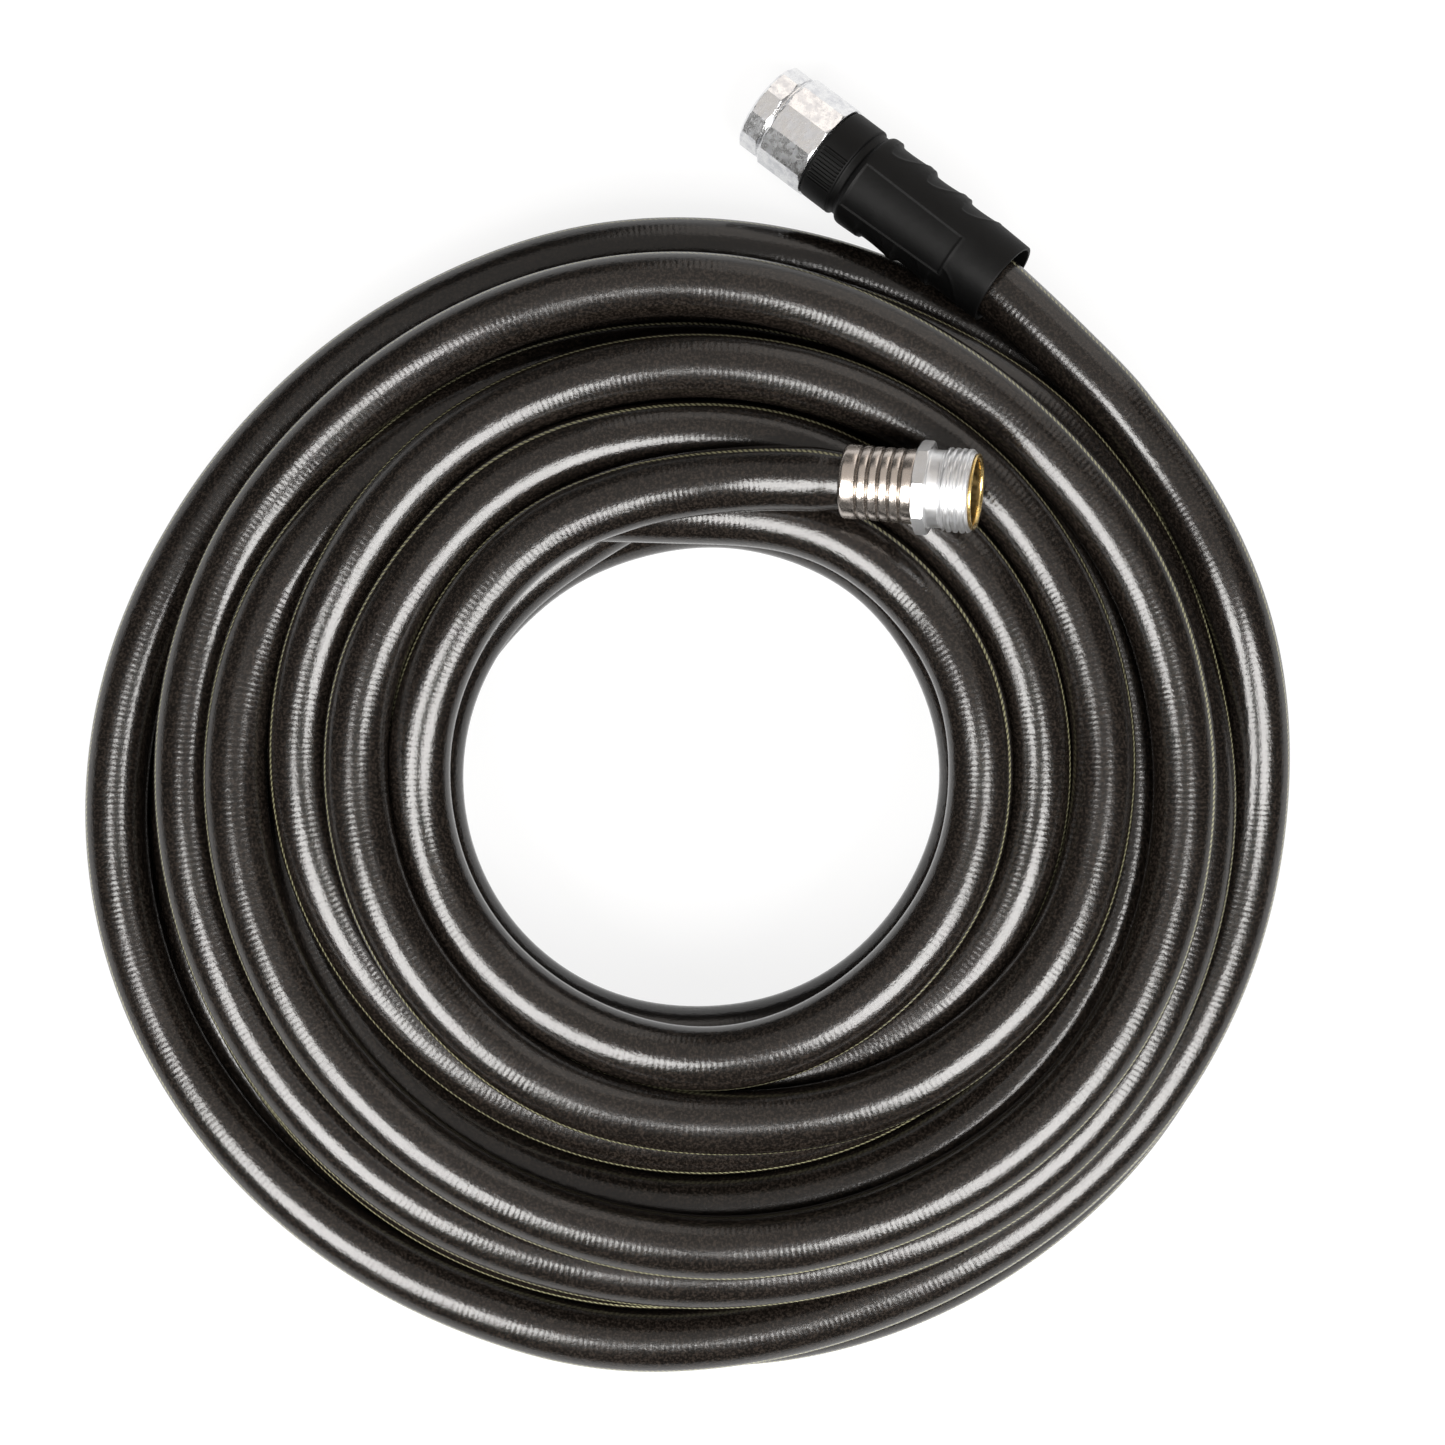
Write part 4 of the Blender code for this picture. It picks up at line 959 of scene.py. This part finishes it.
def brass_finish(name, colour, bore_darkening):
    """Bright brass with a browner tarnish and dark specks of dirt, and with a darker brown laid, by the
    share given, on the stretch of the piece's outline that faces its bore."""
    finish = Finish(name, **{"Metallic": 1.0})
    along = finish.wrap()[1]
    tarnish = finish.noise(1.8 * MM, 4.0, 0.6).between(0.4, 0.75)
    dirt = finish.noise(0.6 * MM, 3.0, 0.7).between(0.60, 0.70)
    finish.relief(finish.noise(0.5 * MM) * (0.05 * MM))
    # The stretch that faces the bore is laid over with a darker brown, by the given share
    begins, ends = (along.between(spot, spot + fade) for spot, fade in zip(LINER_BORE, BORE_FADES))
    bore = begins * (1.0 - ends)
    tone = finish.layered(
        colour, (tarnish * 0.6, shade(colour, 0.45)), (dirt * 0.7, DIRT_COLOUR),
        (bore * bore_darkening * (1.0 - tarnish * 0.4), BORE_DARK_COLOUR),
    )
    return finish.show(tone, tarnish * 0.15 + dirt * 0.3 + bore * 0.15 + 0.2)


def washer_finish():
    """Dark moulded rubber with a dusty face."""
    finish = Finish("washer_moulded", **{"IOR": 1.5})
    grain = finish.noise(0.3 * MM)
    finish.relief(grain * (0.04 * MM))
    dusty = finish.noise(2 * MM, 3.0).between(0.45, 0.75)
    return finish.show(finish.layered(WASHER_COLOUR, (dusty, DUSTY_COLOUR)), grain * 0.1 + 0.6)


def plain_plate(colour):
    """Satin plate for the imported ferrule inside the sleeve, which has no map of its own."""
    finish = Finish("ferrule_hidden", **{"Metallic": 1.0})
    stain = finish.noise(3 * MM, 3.0).between(0.4, 0.7)
    finish.relief(finish.noise(0.5 * MM) * (0.02 * MM))
    return finish.show(finish.layered(colour, (stain * 0.5, shade(colour, 0.6))), stain * 0.15 + 0.3)


def floor_finish(colour, glow):
    """Pale matte studio paper with the faintest mottle, and a painted glow that is brightest near its
    middle.
    """
    finish = Finish("studio_floor", **{"Specular IOR Level": 0.1, "Emission Strength": glow})
    x, y = finish.split(finish.place)
    # Painted light: the floor's emission is brightest near the middle and fades outwards, to keep shadows
    # pale
    far = ((x * x + y * y) ** 0.5).between(*PAINTED_GLOW_SPAN)
    painted_glow = finish.layered((1.0, 1.0, 1.0, 1.0), (far, FAR_GLOW))
    finish.feed(finish.shader.inputs["Emission Color"], painted_glow)
    mottle = finish.noise(0.2)
    return finish.show(finish.layered(shade(colour, 0.99), (mottle, colour)), mottle * 0.05 + 0.85)


def area_light(name, place, size, power, colour):
    """A rectangular light that faces the origin. Its place is azimuth and rise in degrees, and distance."""
    azimuth, rise, away = place
    lamp = bpy.data.lights.new(name, "AREA")
    lamp.shape, lamp.energy, lamp.color = "RECTANGLE", power, colour
    lamp.size, lamp.size_y = size
    panel = placed(name, lamp)
    panel.location = direction(math.radians(azimuth), math.radians(rise)) * away
    panel.rotation_euler = panel.location.to_track_quat("Z", "Y").to_euler()


def dressed(piece, body, slot, finish, *nodes):
    """Gives a piece its finish, its body, its material slot and the CAD nodes that it stands for.
    The slot argument is not used.
    """
    piece.data.materials.append(finish)
    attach(piece, body)
    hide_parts(*nodes)
    return piece


def found(name):
    """A piece made earlier; an error where its operator hasn't run."""
    if name not in bpy.data.objects:
        raise RuntimeError(f"{name} has to be made first")
    return bpy.data.objects[name]


def colour_setting(name, description, default):
    """A colour that the user can change."""
    return bpy.props.FloatVectorProperty(
        name=name, description=description, default=(*default, 1.0), size=4, subtype="COLOR", min=0.0,
        max=1.0)


def power_setting(name, description, default):
    """A light's power, in watts, that the user can change."""
    return bpy.props.FloatProperty(name=name, description=description, default=default, unit="POWER")


class HoseSettings(bpy.types.PropertyGroup):
    diameter: bpy.props.FloatProperty(
        name="Outside diameter", description="Diameter over the hose's cover", default=0.021, min=0.015,
        max=0.024, unit="LENGTH", precision=4)
    length: bpy.props.FloatProperty(
        name="Length", description="Length that the hose is sold in", default=15.24, unit="LENGTH")
    ridge_depth: bpy.props.FloatProperty(
        name="Ridge depth", description="Height of the faint cross ridges in the cover", default=0.000013,
        unit="LENGTH", precision=6)
    colour: colour_setting("Cover colour", "Base colour of the hose's cover", (0.0026, 0.0020, 0.0016))


class FittingSettings(bpy.types.PropertyGroup):
    nickel: colour_setting("Nickel", "Colour of the plated nut and threaded end", (0.78, 0.785, 0.79))
    ferrule: colour_setting("Ferrule", "Colour of the crimped ferrules", (0.60, 0.54, 0.49))
    brass: colour_setting("Brass", "Colour of the liner and the stem", (0.83, 0.60, 0.24))
    grip: colour_setting("Grip", "Colour of the grip sleeve", (0.0010, 0.0010, 0.0010))


class StageSettings(bpy.types.PropertyGroup):
    camera_height: bpy.props.FloatProperty(
        name="Camera height", description="Height of the camera over the floor", default=1.3, unit="LENGTH")
    floor: colour_setting("Floor colour", "Colour of the floor", (0.10, 0.10, 0.10))
    glow: bpy.props.FloatProperty(
        name="Floor glow", description="Light that the floor gives off, which keeps its shadows pale",
        default=0.85)
    sky: bpy.props.FloatProperty(
        name="Sky light", description="Strength of the even light all round", default=0.07)
    box_power: power_setting("Softbox power", "Power of each of the two softboxes", 46.0)
    box_size: bpy.props.FloatVectorProperty(
        name="Softbox size", description="Width and height of each softbox", default=(0.7, 1.0), size=2,
        unit="LENGTH")
    ceiling_power: power_setting(
        "Ceiling power", "Power of the dim panel overhead, which the hose's tops mirror", 17.0)
    wall_power: power_setting(
        "Far wall power", "Power of the pale wall beyond the coil, which the metal mirrors", 24.0)


class MakeStage(bpy.types.Operator):
    """Makes the camera that looks straight down, the floor, the softboxes, the ceiling panel, the far wall
    and the even light"""
    bl_idname = "coiled_hose.make_stage"
    bl_label = "Make the stage"
    bl_options = {"REGISTER", "UNDO"}

    def execute(self, context):
        settings = context.scene.stage_settings
        data = bpy.data.cameras.new("photo_camera")
        data.sensor_width = SENSOR
        data.lens = SENSOR * (settings.camera_height - PICTURE_HEIGHT) / PICTURE_SPAN
        data.clip_start, data.clip_end = CLIPPING
        camera = placed("photo_camera", data)
        camera.location = (*CAMERA_PLACE, settings.camera_height)
        context.scene.camera = camera
        mesh = bpy.data.meshes.new("studio_floor")
        corners = [(x * FLOOR_HALF, y * FLOOR_HALF, 0) for x, y in ((-1, -1), (1, -1), (1, 1), (-1, 1))]
        mesh.from_pydata(corners, [], [(0, 1, 2, 3)])
        mesh.materials.append(floor_finish(settings.floor, settings.glow))
        placed("studio_floor", mesh)
        for side, place in SOFTBOX_PLACES.items():
            area_light("softbox_" + side, place, settings.box_size, settings.box_power, SOFTBOX_COLOUR)
        area_light("ceiling_panel", CEILING_PLACE, CEILING_SIZE, settings.ceiling_power, PANEL_COLOUR)
        area_light("far_wall", WALL_PLACE, WALL_SIZE, settings.wall_power, PANEL_COLOUR)
        world = bpy.data.worlds.new("studio_air")
        world.use_nodes = True
        air = world.node_tree.nodes["Background"]
        air.inputs["Color"].default_value = AIR_COLOUR
        air.inputs["Strength"].default_value = settings.sky
        context.scene.world = world
        context.scene.view_settings.view_transform = "Standard"
        return {"FINISHED"}


class MakeHose(bpy.types.Operator):
    """Lays the hose in its coil, lets it settle and makes its tube"""
    bl_idname = "coiled_hose.make_hose"
    bl_label = "Make the hose"
    bl_options = {"REGISTER", "UNDO"}

    def execute(self, context):
        settings = context.scene.hose_settings
        rounds = LAY_ROUNDS
        line = settled_line(settings.diameter, rounds)
        points, around, along = hose_surface(line, settings.diameter)
        hose = solid("hose", points, around, along, False, crease=60.0)
        finish = hose_finish(settings.colour, settings.ridge_depth)
        dressed(hose, "hose", "hose_rubber", finish, "hose_coil", "hose_lead_female", "hose_lead_male")
        return {"FINISHED"}


class MakeSwivelEnd(bpy.types.Operator):
    """Makes the nut, its washer and stem, and the grip sleeve over them"""
    bl_idname = "coiled_hose.make_swivel_end"
    bl_label = "Make the swivel end"
    bl_options = {"REGISTER", "UNDO"}

    def execute(self, context):
        settings = context.scene.fitting_settings
        nickel = plated_finish("nickel_cast", settings.nickel, cast=0.9, lines=0.9 * MM, roughness=0.2)
        brass = brass_finish("brass_stem", settings.brass, bore_darkening=0.0)
        dressed(coupling_nut(), "swivel", "nickel_plate", nickel, "coupling_nut")
        dressed(grip_sleeve(), "swivel", "grip_rubber", grip_finish(settings.grip), "grip_sleeve")
        angles = ring_angles(PLAIN_SIDES)
        washer = turned("washer_ring", SWIVEL, traced(WASHER_OUTLINE, 0.6 * MM), angles)
        dressed(washer, "swivel", "washer_rubber", washer_finish(), "coupling_washer")
        stem = turned("stem_tube", SWIVEL, traced(STEM_OUTLINE, 1.0 * MM), angles)
        dressed(stem, "hose", "brass", brass, "coupling_stem")
        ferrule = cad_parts["female_ferrule"]
        ferrule.data.materials.clear()
        ferrule.data.materials.append(plain_plate(settings.ferrule))
        return {"FINISHED"}


class MakeThreadedEnd(bpy.types.Operator):
    """Makes the crimped ferrule, the threaded fitting and its brass liner, and reads the hose's points"""
    bl_idname = "coiled_hose.make_threaded_end"
    bl_label = "Make the threaded end"
    bl_options = {"REGISTER", "UNDO"}

    def execute(self, context):
        settings, hose_settings = context.scene.fitting_settings, context.scene.hose_settings
        plate = plated_finish("nickel_turned", settings.nickel, cast=0.12, lines=0.35 * MM, roughness=0.3)
        # Where the ferrule's grooves and their painted shade lines lie along its outline
        spacing = (FERRULE_GROOVES[1] - FERRULE_GROOVES[0]) * MM
        first, last = (FERRULE_GROOVES[end] * MM - MALE_HOSE_START for end in (0, -1))
        satin = plated_finish("ferrule_satin", settings.ferrule, cast=0.16, lines=0.5 * MM, roughness=0.18,
                              grooves=(first, last, spacing))
        fitting = dressed(male_coupling(), "hose", "nickel_plate", plate, "male_coupling")
        ferrule = dressed(male_ferrule(), "hose", "ferrule_metal", satin, "male_ferrule")
        profile = traced(LINER_OUTLINE, 0.5 * MM)
        liner = turned("male_liner_rolled", THREADED, profile, ring_angles(ROUND_SIDES))
        brass = brass_finish("brass_liner", settings.brass, bore_darkening=0.92)
        dressed(liner, "hose", "brass", brass, "male_liner")
        hose = found("hose")
        corners = np.empty(len(hose.data.vertices) * 3)
        hose.data.vertices.foreach_get("co", corners)
        return {"FINISHED"}


class HosePanel(bpy.types.Panel):
    """Lists the settings and the steps that make the hose"""
    bl_idname = "COILED_HOSE_PT_panel"
    bl_label = "Coiled hose"
    bl_space_type = "VIEW_3D"
    bl_region_type = "UI"
    bl_category = "Coiled hose"

    def draw(self, context):
        for group in SETTINGS:
            settings = getattr(context.scene, group)
            box = self.layout.box()
            for name in settings.bl_rna.properties.keys():
                if name not in ("rna_type", "name"):
                    box.prop(settings, name)
        for operator in OPERATORS:
            self.layout.operator(operator.bl_idname)


SETTINGS = {
    "stage_settings": StageSettings, "hose_settings": HoseSettings, "fitting_settings": FittingSettings,
}
OPERATORS = (MakeStage, MakeHose, MakeSwivelEnd, MakeThreadedEnd)
CLASSES = (*SETTINGS.values(), *OPERATORS, HosePanel)


def register():
    for part in CLASSES:
        bpy.utils.register_class(part)
    for name, group in SETTINGS.items():
        setattr(bpy.types.Scene, name, bpy.props.PointerProperty(type=group))


def unregister():
    for name in SETTINGS:
        delattr(bpy.types.Scene, name)
    for part in reversed(CLASSES):
        bpy.utils.unregister_class(part)


def main():
    register()
    bpy.ops.coiled_hose.make_stage()
    bpy.ops.coiled_hose.make_hose()
    bpy.ops.coiled_hose.make_swivel_end()
    bpy.ops.coiled_hose.make_threaded_end()


if __name__ == "__main__":
    main()
